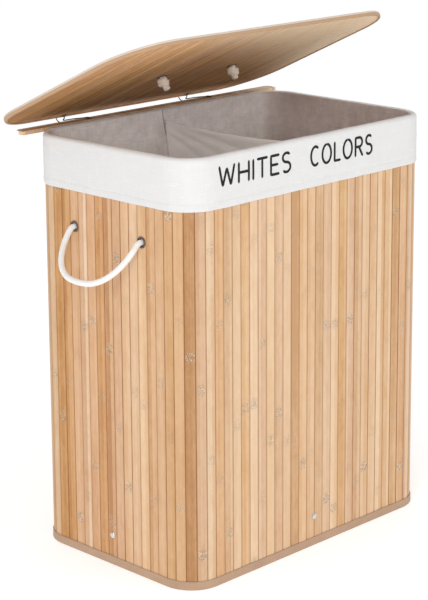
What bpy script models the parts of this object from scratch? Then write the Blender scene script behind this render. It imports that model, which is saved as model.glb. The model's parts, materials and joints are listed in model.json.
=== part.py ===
"""Laundry hamper: a rounded rectangular box of upright bamboo slats with a two-compartment cloth
liner, a cloth rim cuff, rope handles on both ends and a slatted lid that swings on two cord ties.

Units are metres, +Z is up, the front of the hamper faces -Y and its long side runs along X.
Heights are measured from the floor. "Depth" below means distance inward from the outer face
of the slats, so a negative depth stands proud of the wall.
"""

import math

import bmesh
import bpy

# ---- driving dimensions ----------------------------------------------------------------------
GAP = 0.0003  # clearance kept between pieces that rest against each other

BODY_W = 0.520  # over the slats, along X
BODY_D = 0.330  # over the slats, along Y
BODY_R = 0.050  # radius of the upright corners
BODY_Y = -0.0250  # shifts the body so that the whole hamper, lid open, is centred on the origin
ARC_STEPS = 10  # facets in each corner quarter

SLAT_T = 0.0035
SLAT_Z0 = 0.0013
SLAT_Z1 = 0.6250
FRONT_SLATS = 24  # slats across each flat long side
END_SLATS = 13  # slats across each flat short side
CORNER_SLATS = 5  # slats round each corner
GROOVE_W = 0.0007  # half-width of the V between two slats
GROOVE_D = 0.0009  # its depth

CANVAS = (0.0038, 0.0046)  # depths of the cloth glued behind the slats
CANVAS_Z1 = 0.6245
HOOP = (0.0049, 0.0089)  # depths of the stiffening hoop inside the rim
HOOP_Z = (0.5960, 0.6200)

BINDING_H = 0.0130  # height of the tape folded round the bottom edge

BATTEN_DEPTH = (0.0049, 0.0199)
BATTEN_Z = (0.0360, 0.0560)
BATTEN_LONG = 0.360
BATTEN_SHORT = 0.170
BOARD_DEPTH = 0.0060
BOARD_Z = (0.0563, 0.0613)
BASE_SCREW_Z = 0.0460

LINER = (0.0093, 0.0105)  # depths of the liner's outer and inner faces
LINER_Z = (0.0616, 0.0628, 0.6290)  # underside of its floor, top of its floor, top edge
LINER_BULGE = 0.0155  # how far the liner stands off round each rope knot
DIVIDER_T = 0.0020
DIVIDER_HALF = 0.1530
DIVIDER_Z = (0.0632, 0.6150)

CUFF_Z0 = 0.5550  # lower edge of the cloth cuff on the outside
CUFF_BEND_Z = 0.6245  # where the cuff starts to roll over the rim
CUFF_SKIRT = (-0.0018, -0.0003)
CUFF_LIP = (0.0074, 0.0089)
CUFF_LIP_Z0 = 0.6215

RAIL_LEG_Y = (0.1671, 0.1711)
RAIL_LEG_Z = (0.5980, 0.6252)
RAIL_LEG_HALF = 0.2050
RAIL_TOP_Y = (0.1671, 0.1870)
RAIL_TOP_Z = (0.6250, 0.6300)
RAIL_TOP_HALF = 0.2715
RAIL_R = 0.0150
RAIL_SCREW_X = (-0.170, 0.0, 0.170)
RAIL_SCREW_Z = 0.6090

HINGE_Y = 0.2055  # axis that the lid swings about, parallel to X, with the lid pushed back
HINGE_Z = 0.6357
LID_REST_X = -0.0367  # on its slack ties the lid also lies this far to the left
LID_OPEN = math.radians(25.0)  # how far the lid stands open here
LID_HALF = 0.2825
LID_NEAR = 0.0020  # distances of the lid's rear and front edges from the axis
LID_FAR = 0.3600
LID_R = 0.0850
LID_Z = (-0.0036, 0.0036)  # lid faces below and above the axis when it is closed
LID_TAPE = 0.0008
LID_TAPE_W = 0.0120
LID_SLATS = 33
LID_GROOVE_W = 0.0006
LID_GROOVE_D = 0.0007

TIE_X = 0.130  # cord ties that hinge the lid, to each side of the middle
TIE_RAIL_Y = 0.1810  # their holes in the rail
TIE_REACH = 0.0095  # their holes in the lid stand this far from the axis
TIE_R = 0.0103
TIE_CORD_R = 0.0010

ROPE_R = 0.00425  # cotton rope of the three handles
GRIP_HALF = 0.0705  # half the distance between a side handle's two holes
GRIP_Z = 0.5020
GRIP_DROP = 0.0780  # reach of the side handle's loop
GRIP_X = 0.2662  # the loop swings about this line, parallel to Y
GRIP_TILT = math.radians(40.0)
EYELET_FLANGE_R = 0.0088
EYELET_TUBE_R = 0.0070
EYELET_BORE_R = 0.0062
WALL_HOLE_R = 0.0073

LID_GRIP_HALF = 0.0740
LID_GRIP_X = 0.0150  # middle of the lid handle, from the lid's middle
LID_GRIP_S = 0.1650  # distance of the lid handle's holes from the axis
LID_GRIP_TOP = 0.0440  # highest point of the rope's centre line above the lid's mid-plane

BAMBOO = ((0.68, 0.42, 0.21), 0.50, 0.0)
BAMBOO_BROWN = ((0.17, 0.075, 0.032), 0.55, 0.0)
BAMBOO_LID = ((0.36, 0.19, 0.09), 0.50, 0.0)
CLOTH_WHITE = ((0.86, 0.85, 0.83), 0.90, 0.0)
CLOTH_LINER = ((0.33, 0.29, 0.26), 0.95, 0.0)
CLOTH_DIVIDER = ((0.43, 0.38, 0.34), 0.95, 0.0)
TAPE_TAN = ((0.52, 0.36, 0.21), 0.90, 0.0)
TAPE_CREAM = ((0.68, 0.62, 0.55), 0.90, 0.0)
COTTON = ((0.82, 0.80, 0.76), 0.90, 0.0)
BOARD_BROWN = ((0.25, 0.17, 0.11), 0.80, 0.0)
STEEL_DARK = ((0.045, 0.04, 0.037), 0.35, 0.9)
STEEL = ((0.62, 0.62, 0.62), 0.30, 1.0)
ELASTIC = ((0.02, 0.02, 0.02), 0.70, 0.0)

# ---- helpers ---------------------------------------------------------------------------------


def clear_scene():
    for obj in list(bpy.data.objects):
        bpy.data.objects.remove(obj, do_unlink=True)


def finish(name, look):
    colour, roughness, metallic = look
    material = bpy.data.materials.new(name)
    material.use_nodes = True
    shader = material.node_tree.nodes["Principled BSDF"]
    shader.inputs["Base Color"].default_value = (*colour, 1.0)
    shader.inputs["Roughness"].default_value = roughness
    shader.inputs["Metallic"].default_value = metallic
    return material


def empty(name, parent=None, location=(0, 0, 0), rotation=(0, 0, 0)):
    obj = bpy.data.objects.new(name, None)
    bpy.context.scene.collection.objects.link(obj)
    obj.parent = parent
    obj.location = location
    obj.rotation_euler = rotation
    return obj


def place(name, data, look, parent, location=(0, 0, 0), rotation=(0, 0, 0)):
    obj = bpy.data.objects.new(name, data)
    bpy.context.scene.collection.objects.link(obj)
    obj.parent = parent
    obj.location = location
    obj.rotation_euler = rotation
    data.materials.append(finish(name, look))
    return obj


def to_mesh(name, bm, sharp=30.0):
    """Closes off a bmesh: normals outward, smooth across the shallow edges only."""
    bmesh.ops.recalc_face_normals(bm, faces=bm.faces)
    mesh = bpy.data.meshes.new(name)
    bm.to_mesh(mesh)
    bm.free()
    mesh.shade_smooth()
    mesh.set_sharp_from_angle(angle=math.radians(sharp))
    return mesh


def rounded_outline(half_x, half_y, radius, steps=ARC_STEPS):
    """Points of a rectangle with round corners, anticlockwise from the +X side."""
    points = []
    for quarter, (sx, sy) in enumerate(((1, 1), (-1, 1), (-1, -1), (1, -1))):
        for step in range(steps + 1):
            angle = math.pi / 2 * (quarter + step / steps)
            x = sx * (half_x - radius) + radius * math.cos(angle)
            y = sy * (half_y - radius) + radius * math.sin(angle)
            points.append((x, y))
    return points


def body_outline(depth, steps=ARC_STEPS):
    """The body's outline at a depth inward from the slats' outer face."""
    return rounded_outline(BODY_W / 2 - depth, BODY_D / 2 - depth, BODY_R - depth, steps)


def lid_outline(inset):
    """The lid's outline at an inset from its outer edge, centred on the lid."""
    half_y = (LID_FAR - LID_NEAR) / 2
    return rounded_outline(LID_HALF - inset, half_y - inset, LID_R - inset)


def swept_ring(name, outline, profile):
    """Sweeps a closed (depth, z) profile round an outline function."""
    bm = bmesh.new()
    loops = [[bm.verts.new((x, y, z)) for x, y in outline(depth)] for depth, z in profile]
    count = len(loops[0])
    for low, high in zip(loops, loops[1:] + loops[:1]):
        for i in range(count):
            j = (i + 1) % count
            bm.faces.new((low[i], low[j], high[j], high[i]))
    return to_mesh(name, bm)


def prism(name, outline, z0, z1):
    """A flat outline extruded from z0 to z1."""
    bm = bmesh.new()
    face = bm.faces.new([bm.verts.new((x, y, z0)) for x, y in outline])
    grown = bmesh.ops.extrude_face_region(bm, geom=[face])
    top = [item for item in grown["geom"] if isinstance(item, bmesh.types.BMVert)]
    bmesh.ops.translate(bm, verts=top, vec=(0, 0, z1 - z0))
    return to_mesh(name, bm)


def turned(name, profile, segments=16, closed=False):
    """A (radius, z) profile spun about Z; it is open where it starts and ends on the axis."""
    bm = bmesh.new()
    verts = [bm.verts.new((r, 0.0, z)) for r, z in profile]
    edges = [bm.edges.new(pair) for pair in zip(verts, verts[1:])]
    if closed:
        edges.append(bm.edges.new((verts[-1], verts[0])))
    bmesh.ops.spin(
        bm, geom=verts + edges, axis=(0, 0, 1), cent=(0, 0, 0), dvec=(0, 0, 0),
        angle=2 * math.pi, steps=segments, use_merge=True,
    )
    bmesh.ops.remove_doubles(bm, verts=bm.verts, dist=1e-7)
    bmesh.ops.dissolve_degenerate(bm, edges=bm.edges, dist=1e-8)
    return to_mesh(name, bm, 40.0)


def box(name, low, high):
    bm = bmesh.new()
    bmesh.ops.create_cube(bm, size=1.0)
    size = [b - a for a, b in zip(low, high)]
    centre = [(a + b) / 2 for a, b in zip(low, high)]
    bmesh.ops.scale(bm, verts=bm.verts, vec=size)
    bmesh.ops.translate(bm, verts=bm.verts, vec=centre)
    return to_mesh(name, bm)


def rope(name, points, radius, closed=False):
    """A round rope along a smooth row of points, with flat ends or endless."""
    curve = bpy.data.curves.new(name, "CURVE")
    curve.dimensions = "3D"
    curve.bevel_depth = radius
    curve.bevel_resolution = 3
    curve.use_fill_caps = True
    spline = curve.splines.new("POLY")
    spline.points.add(len(points) - 1)
    spline.use_cyclic_u = closed
    for target, point in zip(spline.points, points):
        target.co = (*point, 1.0)
    return curve


WALL_TURN = {
    "front": (math.pi / 2, 0, 0),
    "rear": (-math.pi / 2, 0, 0),
    "left": (0, -math.pi / 2, 0),
    "right": (0, math.pi / 2, 0),
}


def wall_point(side, along, z):
    """A point on the slats' outer face of one side; local +Z of WALL_TURN points outward there."""
    if side == "front":
        return (along, -BODY_D / 2, z)
    if side == "rear":
        return (along, BODY_D / 2, z)
    if side == "left":
        return (-BODY_W / 2, along, z)
    return (BODY_W / 2, along, z)


def drill(name, radius, reach, places, parent, segments=16):
    """Cutter of several parallel-sided drills; reach is the (inner, outer) span along each axis."""
    bm = bmesh.new()
    for location, rotation in places:
        turn = bpy.data.objects.new("turn", None)
        turn.location = location
        turn.rotation_euler = rotation
        made = bmesh.ops.create_cone(
            bm, cap_ends=True, segments=segments, radius1=radius, radius2=radius,
            depth=reach[1] - reach[0],
        )
        bmesh.ops.translate(bm, verts=made["verts"], vec=(0, 0, (reach[0] + reach[1]) / 2))
        bmesh.ops.transform(bm, verts=made["verts"], matrix=turn.matrix_basis)
        bpy.data.objects.remove(turn)
    cutter = bpy.data.objects.new(name, to_mesh(name, bm))
    bpy.context.scene.collection.objects.link(cutter)
    cutter.parent = parent
    cutter.hide_render = True
    cutter.display_type = "WIRE"
    return cutter


def cut(obj, *cutters):
    for cutter in cutters:
        modifier = obj.modifiers.new(cutter.name, "BOOLEAN")
        modifier.operation = "DIFFERENCE"
        modifier.solver = "EXACT"
        modifier.object = cutter
    return obj


# ---- slats -----------------------------------------------------------------------------------


def flat_slats(length, count):
    """Outline of a run of slats, centred on X=0, outer face at Y=0 and inner face at +SLAT_T."""
    pitch = length / count
    edge = length / 2 - GAP / 2
    points = [(-edge, GROOVE_D), (-edge + GROOVE_W, 0.0)]
    for k in range(1, count):
        x = -length / 2 + k * pitch
        points += [(x - GROOVE_W, 0.0), (x, GROOVE_D), (x + GROOVE_W, 0.0)]
    points += [(edge - GROOVE_W, 0.0), (edge, GROOVE_D), (edge, SLAT_T), (-edge, SLAT_T)]
    return points


def corner_slats():
    """Outline of the slats round one corner, centre of the arc at the origin, from +X to +Y."""
    outer = BODY_R
    inner = BODY_R - SLAT_T
    half = GROOVE_W / outer
    points = [(outer - GROOVE_D, GAP / 2), (outer, GROOVE_W)]
    for step in range(1, ARC_STEPS):
        angle = math.pi / 2 * step / ARC_STEPS
        if step % (ARC_STEPS // CORNER_SLATS) == 0:
            for turn, radius in ((-half, outer), (0.0, outer - GROOVE_D), (half, outer)):
                points.append((radius * math.cos(angle + turn), radius * math.sin(angle + turn)))
        else:
            points.append((outer * math.cos(angle), outer * math.sin(angle)))
    points += [(GROOVE_W, outer), (GAP / 2, outer - GROOVE_D), (GAP / 2, inner)]
    for step in range(ARC_STEPS - 1, 0, -1):
        angle = math.pi / 2 * step / ARC_STEPS
        points.append((inner * math.cos(angle), inner * math.sin(angle)))
    points.append((inner, GAP / 2))
    return points


def build_walls(frame, eyelet_drill, screw_drill, rail_drill):
    long_run = BODY_W - 2 * BODY_R
    short_run = BODY_D - 2 * BODY_R
    for side, turn, run, count in (
        ("front", 0.0, long_run, FRONT_SLATS),
        ("rear", math.pi, long_run, FRONT_SLATS),
        ("left", -math.pi / 2, short_run, END_SLATS),
        ("right", math.pi / 2, short_run, END_SLATS),
    ):
        name = side + "_slat_panel"
        mesh = prism(name, flat_slats(run, count), SLAT_Z0, SLAT_Z1)
        panel = place(name, mesh, BAMBOO, frame, wall_point(side, 0.0, 0.0), (0, 0, turn))
        cut(panel, screw_drill)
        if side in ("left", "right"):
            cut(panel, eyelet_drill)
        if side == "rear":
            cut(panel, rail_drill)
    for name, sx, sy, turn in (
        ("rear_right", 1, 1, 0.0),
        ("rear_left", -1, 1, math.pi / 2),
        ("front_left", -1, -1, math.pi),
        ("front_right", 1, -1, -math.pi / 2),
    ):
        name = "corner_slats_" + name
        centre = (sx * (BODY_W / 2 - BODY_R), sy * (BODY_D / 2 - BODY_R), 0.0)
        mesh = prism(name, corner_slats(), SLAT_Z0, SLAT_Z1)
        place(name, mesh, BAMBOO, frame, centre, (0, 0, turn))


def build_linings(frame, eyelet_drill, screw_drill, rail_drill):
    d0, d1 = CANVAS
    profile = [(d0, SLAT_Z0), (d1, SLAT_Z0), (d1, CANVAS_Z1), (d0, CANVAS_Z1)]
    canvas = place("canvas_backing", swept_ring("canvas", body_outline, profile), CLOTH_LINER, frame)
    cut(canvas, eyelet_drill, screw_drill, rail_drill)

    d0, d1 = HOOP
    profile = [(d0, HOOP_Z[0]), (d1, HOOP_Z[0]), (d1, HOOP_Z[1]), (d0, HOOP_Z[1])]
    hoop = place("rim_hoop", swept_ring("hoop", body_outline, profile), BAMBOO_BROWN, frame)
    cut(hoop, rail_drill)

    outer = -0.0013
    inner = 0.0057
    profile = [
        (outer, 0.0), (inner, 0.0), (inner, BINDING_H), (CANVAS[1] + GAP, BINDING_H),
        (CANVAS[1] + GAP, 0.0010), (-GAP, 0.0010), (-GAP, BINDING_H), (outer, BINDING_H),
    ]
    place("bottom_binding", swept_ring("binding", body_outline, profile), TAPE_TAN, frame)

    centre = (CUFF_SKIRT[1] + CUFF_LIP[0]) / 2
    outer_r = CUFF_LIP[1] - centre
    inner_r = CUFF_LIP[0] - centre
    profile = [(CUFF_SKIRT[1], CUFF_Z0), (CUFF_SKIRT[0], CUFF_Z0)]
    for step in range(7):
        angle = math.pi * step / 6
        profile.append((centre - outer_r * math.cos(angle), CUFF_BEND_Z + outer_r * math.sin(angle)))
    profile += [(CUFF_LIP[1], CUFF_LIP_Z0), (CUFF_LIP[0], CUFF_LIP_Z0)]
    for step in range(5):
        angle = math.pi * step / 4
        profile.append((centre + inner_r * math.cos(angle), CUFF_BEND_Z + inner_r * math.sin(angle)))
    cuff = place("cuff", swept_ring("cuff", body_outline, profile), CLOTH_WHITE, frame)
    cut(cuff, rail_drill)


# ---- base ------------------------------------------------------------------------------------


def build_base(frame, screw_drill):
    d0, d1 = BATTEN_DEPTH
    for side, length in (
        ("front", BATTEN_LONG),
        ("rear", BATTEN_LONG),
        ("left", BATTEN_SHORT),
        ("right", BATTEN_SHORT),
    ):
        name = side + "_base_batten"
        turn = {"front": 0.0, "rear": math.pi, "left": -math.pi / 2, "right": math.pi / 2}[side]
        low = (-length / 2, d0, BATTEN_Z[0])
        high = (length / 2, d1, BATTEN_Z[1])
        location = wall_point(side, 0.0, 0.0)
        batten = place(name, box(name, low, high), BOARD_BROWN, frame, location, (0, 0, turn))
        cut(batten, screw_drill)

        name = side + "_base_screw"
        profile = [(0.0, -0.0120), (0.0020, -0.0105), (0.0020, GAP), (0.0050, GAP), (0.0050, 0.0009)]
        profile += [(0.0041, 0.0018), (0.0022, 0.0025), (0.0, 0.0027)]
        location = wall_point(side, 0.0, BASE_SCREW_Z)
        place(name, turned(name, profile, 12), STEEL, frame, location, WALL_TURN[side])

    board = prism("base_board", body_outline(BOARD_DEPTH), BOARD_Z[0], BOARD_Z[1])
    place("base_board", board, BOARD_BROWN, frame)


# ---- liner -----------------------------------------------------------------------------------


def bulge(x, y, z):
    """Inward push of the liner near the four rope knots inside the end walls."""
    push = 0.0
    if abs(x) < BODY_W / 2 - BODY_R:
        return push
    for knot_y in (-GRIP_HALF, GRIP_HALF):
        reach = (abs(y - knot_y) ** 3 + abs(z - GRIP_Z) ** 3) ** (1 / 3)
        share = min(max((0.038 - reach) / 0.0225, 0.0), 1.0)
        push = max(push, LINER_BULGE * share * share * (3 - 2 * share))
    return push


def liner_loop(bm, depth, z):
    """One level of the liner, with extra points on the end walls beside the knots."""
    offsets = (-0.038, -0.024, -0.012, 0.0, 0.012, 0.024, 0.038)
    rises = sorted(s * GRIP_HALF + o for s in (-1, 1) for o in offsets)
    corners = body_outline(depth, 5)
    x = BODY_W / 2 - depth
    points = corners[:12] + [(-x, y) for y in reversed(rises)]
    points += corners[12:] + [(x, y) for y in rises]
    verts = []
    for px, py in points:
        side = 1 if px > 0 else -1
        verts.append(bm.verts.new((px - side * bulge(px, py, z), py, z)))
    return verts


def build_liner(frame):
    bm = bmesh.new()
    knot_levels = [GRIP_Z + o for o in (-0.038, -0.024, -0.012, 0.0, 0.012, 0.024, 0.038)]
    outer = [liner_loop(bm, LINER[0], z) for z in [LINER_Z[0]] + knot_levels + [LINER_Z[2]]]
    inner = [liner_loop(bm, LINER[1], z) for z in [LINER_Z[1]] + knot_levels + [LINER_Z[2]]]
    count = len(outer[0])
    rows = list(zip(outer, outer[1:])) + list(zip(inner, inner[1:])) + [(outer[-1], inner[-1])]
    for low, high in rows:
        for i in range(count):
            j = (i + 1) % count
            bm.faces.new((low[i], low[j], high[j], high[i]))
    bm.faces.new(outer[0])
    bm.faces.new(inner[0])
    place("liner_bag", to_mesh("liner_bag", bm), CLOTH_LINER, frame)

    low = (-DIVIDER_T / 2, -DIVIDER_HALF, DIVIDER_Z[0])
    high = (DIVIDER_T / 2, DIVIDER_HALF, DIVIDER_Z[1])
    place("divider", box("divider", low, high), CLOTH_DIVIDER, frame)


# ---- hinge rail ------------------------------------------------------------------------------


def rail_outline():
    y0, y1 = RAIL_TOP_Y
    x1 = RAIL_TOP_HALF
    points = [(-x1, y0), (x1, y0)]
    for sx, start in ((1, 0.0), (-1, math.pi / 2)):
        for step in range(7):
            angle = start + math.pi / 2 * step / 6
            x = sx * (x1 - RAIL_R) + RAIL_R * math.cos(angle)
            y = y1 - RAIL_R + RAIL_R * math.sin(angle)
            points.append((x, y))
    return points


def build_rail(frame, rail_drill, rail_tie_drill):
    leg = bpy.data.objects.new(
        "rail_leg",
        box(
            "rail_leg",
            (-RAIL_LEG_HALF, RAIL_LEG_Y[0], RAIL_LEG_Z[0]),
            (RAIL_LEG_HALF, RAIL_LEG_Y[1], RAIL_LEG_Z[1] + 0.0020),
        ),
    )
    bpy.context.scene.collection.objects.link(leg)
    leg.parent = frame
    leg.hide_render = True
    leg.display_type = "WIRE"
    mesh = prism("hinge_rail", rail_outline(), RAIL_TOP_Z[0], RAIL_TOP_Z[1])
    rail = place("hinge_rail", mesh, BAMBOO_BROWN, frame)
    joined = rail.modifiers.new("leg", "BOOLEAN")
    joined.operation = "UNION"
    joined.solver = "EXACT"
    joined.object = leg
    cut(rail, rail_drill, rail_tie_drill)

    outer = RAIL_LEG_Y[1] - BODY_D / 2 + GAP
    profile = [(0.0, -0.0080), (0.0017, -0.0066), (0.0017, outer), (0.0040, outer)]
    profile += [(0.0038, outer + 0.0010), (0.0024, outer + 0.0020), (0.0, outer + 0.0022)]
    for name, x in zip(("left", "middle", "right"), RAIL_SCREW_X):
        name = "rail_screw_" + name
        location = wall_point("rear", x, RAIL_SCREW_Z)
        place(name, turned(name, profile, 12), STEEL, frame, location, WALL_TURN["rear"])


def spool(bore, tube, flange, lower, upper):
    """Profile of an eyelet: a tube with a flange outside each of two (inner, outer) faces."""
    return [
        (bore, lower[1]), (flange - 0.0006, lower[1]), (flange, lower[0]),
        (tube, lower[0]), (tube, upper[0]), (flange, upper[0]),
        (flange - 0.0006, upper[1]), (bore, upper[1]),
    ]


def tie_points():
    """Endless cord tie, X measured from its rail hole: up through the rail, sideways to the lid's
    hole, once round the lid's axis, and back to the rail hole from below."""
    low = RAIL_TOP_Z[0]
    high = RAIL_TOP_Z[1]
    x = LID_REST_X
    y = TIE_RAIL_Y
    points = [(0.0, y, low - 0.0015), (0.0, y, low + 0.0025), (0.0, y + 0.0003, high + 0.0024)]
    points += [(x * 0.28, y + 0.0040, high + 0.0036), (x * 0.68, y + 0.0100, high + 0.0032)]
    for degrees in (198, 176, 154, 126, 98, 70, 42, 14, -14, -42, -70, -96):
        angle = math.radians(degrees)
        points.append((x, HINGE_Y + TIE_R * math.cos(angle), HINGE_Z + TIE_R * math.sin(angle)))
    points += [(x * 0.82, y + 0.0165, low - 0.0022), (x * 0.5, y + 0.0080, low - 0.0045)]
    points.append((x * 0.17, y + 0.0015, low - 0.0046))
    return points


def build_ties(frame, lid):
    lower = (RAIL_TOP_Z[0] - GAP, RAIL_TOP_Z[0] - 0.0009)
    upper = (RAIL_TOP_Z[1] + GAP, RAIL_TOP_Z[1] + 0.0009)
    rail_profile = spool(0.0030, 0.0036, 0.0050, lower, upper)
    lower = (LID_Z[0] - GAP, LID_Z[0] - 0.0009)
    upper = (LID_Z[1] + GAP, LID_Z[1] + 0.0009)
    lid_profile = spool(0.0030, 0.0036, 0.0050, lower, upper)
    for side, x in (("left", -TIE_X), ("right", TIE_X)):
        name = side + "_rail_eyelet"
        place(name, turned(name, rail_profile, closed=True), STEEL_DARK, frame, (x, TIE_RAIL_Y, 0.0))
        name = side + "_lid_tie_eyelet"
        mesh = turned(name, lid_profile, closed=True)
        place(name, mesh, STEEL_DARK, lid, (x, -TIE_REACH, 0.0))
        name = side + "_tie_loop"
        cord = rope(name, tie_points(), TIE_CORD_R, closed=True)
        place(name, cord, ELASTIC, frame, (x, 0.0, 0.0))


# ---- lid -------------------------------------------------------------------------------------


def lid_groove(x):
    """Depth of the lid's grooves at x, from the nearest joint between two slats."""
    pitch = 2 * LID_HALF / LID_SLATS
    joint = round((x + LID_HALF) / pitch)
    if joint in (0, LID_SLATS):
        return 0.0
    away = abs(x + LID_HALF - joint * pitch)
    return LID_GROOVE_D * max(0.0, 1.0 - away / LID_GROOVE_W)


def lid_mesh():
    """Slatted plate with round corners, grooved on both faces, slats running front to rear."""
    inset = LID_TAPE + GAP
    z0 = LID_Z[0] + inset
    z1 = LID_Z[1] - inset
    upper = [p for p in lid_outline(inset) if p[1] > 0]
    upper.sort()
    pitch = 2 * LID_HALF / LID_SLATS
    stations = [x for x, y in upper]
    for k in range(1, LID_SLATS):
        x = -LID_HALF + k * pitch
        stations += [x - LID_GROOVE_W, x, x + LID_GROOVE_W]
    stations.sort()
    kept = [stations[0]]
    for x in stations[1:]:
        if x - kept[-1] > 2e-5:
            kept.append(x)

    def half_width(x):
        for (xa, ya), (xb, yb) in zip(upper, upper[1:]):
            if xa <= x <= xb:
                return ya + (yb - ya) * (x - xa) / max(xb - xa, 1e-9)
        return upper[-1][1]

    bm = bmesh.new()
    loops = []
    for x in kept:
        y = half_width(x)
        sink = lid_groove(x)
        corners = ((-y, z0 + sink), (y, z0 + sink), (y, z1 - sink), (-y, z1 - sink))
        loops.append([bm.verts.new((x, cy, cz)) for cy, cz in corners])
    for near, far in zip(loops, loops[1:]):
        for i in range(4):
            j = (i + 1) % 4
            bm.faces.new((near[i], near[j], far[j], far[i]))
    bm.faces.new(loops[0])
    bm.faces.new(loops[-1])
    return to_mesh("lid_panel", bm)


def build_lid(lid, lid_tie_drill, lid_grip_drill):
    centre = (0.0, -(LID_NEAR + LID_FAR) / 2, 0.0)
    panel = place("lid_panel", lid_mesh(), BAMBOO_LID, lid, centre)
    cut(panel, lid_tie_drill, lid_grip_drill)

    z0, z1 = LID_Z
    t = LID_TAPE
    profile = [
        (0.0, z0), (LID_TAPE_W, z0), (LID_TAPE_W, z0 + t), (t, z0 + t),
        (t, z1 - t), (LID_TAPE_W, z1 - t), (LID_TAPE_W, z1), (0.0, z1),
    ]
    mesh = swept_ring("lid_binding", lid_outline, profile)
    tape = place("lid_binding", mesh, TAPE_CREAM, lid, centre)
    cut(tape, lid_tie_drill)

    panel_z0 = z0 + t + GAP
    panel_z1 = z1 - t - GAP
    lower = (panel_z0 - GAP, panel_z0 - 0.0011)
    upper = (panel_z1 + GAP, panel_z1 + 0.0011)
    profile = spool(EYELET_BORE_R, EYELET_TUBE_R, EYELET_FLANGE_R, lower, upper)
    end_z = LID_Z[0] - 0.0035
    for side, sx in (("left", -1), ("right", 1)):
        at = (LID_GRIP_X + sx * LID_GRIP_HALF, -LID_GRIP_S, 0.0)
        name = side + "_lid_grip_eyelet"
        place(name, turned(name, profile, closed=True), STEEL_DARK, lid, at)
        name = side + "_lid_knot"
        top = end_z - GAP
        knot = [
            (0.0, top), (0.0046, top), (0.0078, top - 0.0026), (0.0100, top - 0.0070),
            (0.0088, top - 0.0122), (0.0052, top - 0.0158), (0.0, top - 0.0180),
        ]
        place(name, turned(name, knot, 12), COTTON, lid, at)

    points = [(LID_GRIP_X - LID_GRIP_HALF, -LID_GRIP_S, end_z)]
    rise = LID_Z[1] + 0.0015
    for step in range(15):
        angle = math.pi * (1 - step / 14)
        x = LID_GRIP_X + LID_GRIP_HALF * math.cos(angle)
        z = rise + (LID_GRIP_TOP - rise) * math.sin(angle)
        points.append((x, -LID_GRIP_S, z))
    points.append((LID_GRIP_X + LID_GRIP_HALF, -LID_GRIP_S, end_z))
    place("lid_handle_rope", rope("lid_handle_rope", points, ROPE_R), COTTON, lid)


# ---- side handles ----------------------------------------------------------------------------


def build_side_handles(frame):
    lower = (-CANVAS[1] - GAP, -CANVAS[1] - 0.0015)
    upper = (GAP, 0.0015)
    profile = spool(EYELET_BORE_R, EYELET_TUBE_R, EYELET_FLANGE_R, lower, upper)
    knot = [
        (0.0, 0.0014), (ROPE_R, 0.0014), (ROPE_R, -0.0068), (0.0075, -0.0090),
        (0.0095, -0.0140), (0.0085, -0.0185), (0.0050, -0.0220), (0.0, -0.0232),
    ]
    for side, sx in (("left", -1), ("right", 1)):
        for end, sy in (("front", -1), ("rear", 1)):
            location = wall_point(side, sy * GRIP_HALF, GRIP_Z)
            name = side + "_" + end + "_eyelet"
            mesh = turned(name, profile, closed=True)
            place(name, mesh, STEEL_DARK, frame, location, WALL_TURN[side])
            name = side + "_" + end + "_knot"
            place(name, turned(name, knot, 12), COTTON, frame, location, WALL_TURN[side])
        pivot = empty(
            side + "_handle_pivot", frame, (sx * GRIP_X, 0.0, GRIP_Z), (0, -sx * GRIP_TILT, 0)
        )
        points = []
        for step in range(15):
            angle = math.pi * step / 14
            points.append((0.0, GRIP_HALF * math.cos(angle), -GRIP_DROP * math.sin(angle)))
        name = side + "_handle_rope"
        place(name, rope(name, points, ROPE_R), COTTON, pivot)


# ---- the hamper ------------------------------------------------------------------------------


def main():
    clear_scene()
    frame = empty("body_frame", None, (0.0, BODY_Y, 0.0))
    lid = empty("lid_axis", frame, (LID_REST_X, HINGE_Y, HINGE_Z), (-LID_OPEN, 0, 0))

    eyelet_drill = drill(
        "eyelet_drill", WALL_HOLE_R, (-0.0080, 0.0100),
        [
            (wall_point(side, y, GRIP_Z), WALL_TURN[side])
            for side in ("left", "right")
            for y in (-GRIP_HALF, GRIP_HALF)
        ],
        frame,
    )
    screw_drill = drill(
        "screw_drill", 0.0024, (-0.0135, 0.0100),
        [(wall_point(side, 0.0, BASE_SCREW_Z), WALL_TURN[side]) for side in WALL_TURN],
        frame, 12,
    )
    rail_drill = drill(
        "rail_drill", 0.0021, (-0.0095, 0.0120),
        [(wall_point("rear", x, RAIL_SCREW_Z), WALL_TURN["rear"]) for x in RAIL_SCREW_X],
        frame, 12,
    )
    rail_tie_drill = drill(
        "rail_tie_drill", 0.0039, (0.6200, 0.6350),
        [((x, TIE_RAIL_Y, 0.0), (0, 0, 0)) for x in (-TIE_X, TIE_X)],
        frame,
    )
    lid_tie_drill = drill(
        "lid_tie_drill", 0.0039, (-0.0100, 0.0100),
        [((x, -TIE_REACH, 0.0), (0, 0, 0)) for x in (-TIE_X, TIE_X)],
        lid,
    )
    lid_grip_drill = drill(
        "lid_grip_drill", WALL_HOLE_R, (-0.0100, 0.0100),
        [
            ((LID_GRIP_X + x, -LID_GRIP_S, 0.0), (0, 0, 0))
            for x in (-LID_GRIP_HALF, LID_GRIP_HALF)
        ],
        lid,
    )

    build_walls(frame, eyelet_drill, screw_drill, rail_drill)
    build_linings(frame, eyelet_drill, screw_drill, rail_drill)
    build_base(frame, screw_drill)
    build_liner(frame)
    build_rail(frame, rail_drill, rail_tie_drill)
    build_ties(frame, lid)
    build_lid(lid, lid_tie_drill, lid_grip_drill)
    build_side_handles(frame)


main()
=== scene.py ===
"""Looks of the laundry hamper: slatted bamboo walls, linen cuff, two-compartment cloth liner,
cotton rope handles and a slatted lid on two cord ties. Metres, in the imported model's frame."""

import json
import math

import bmesh
import bpy
from mathutils import Matrix, Vector, noise


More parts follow.
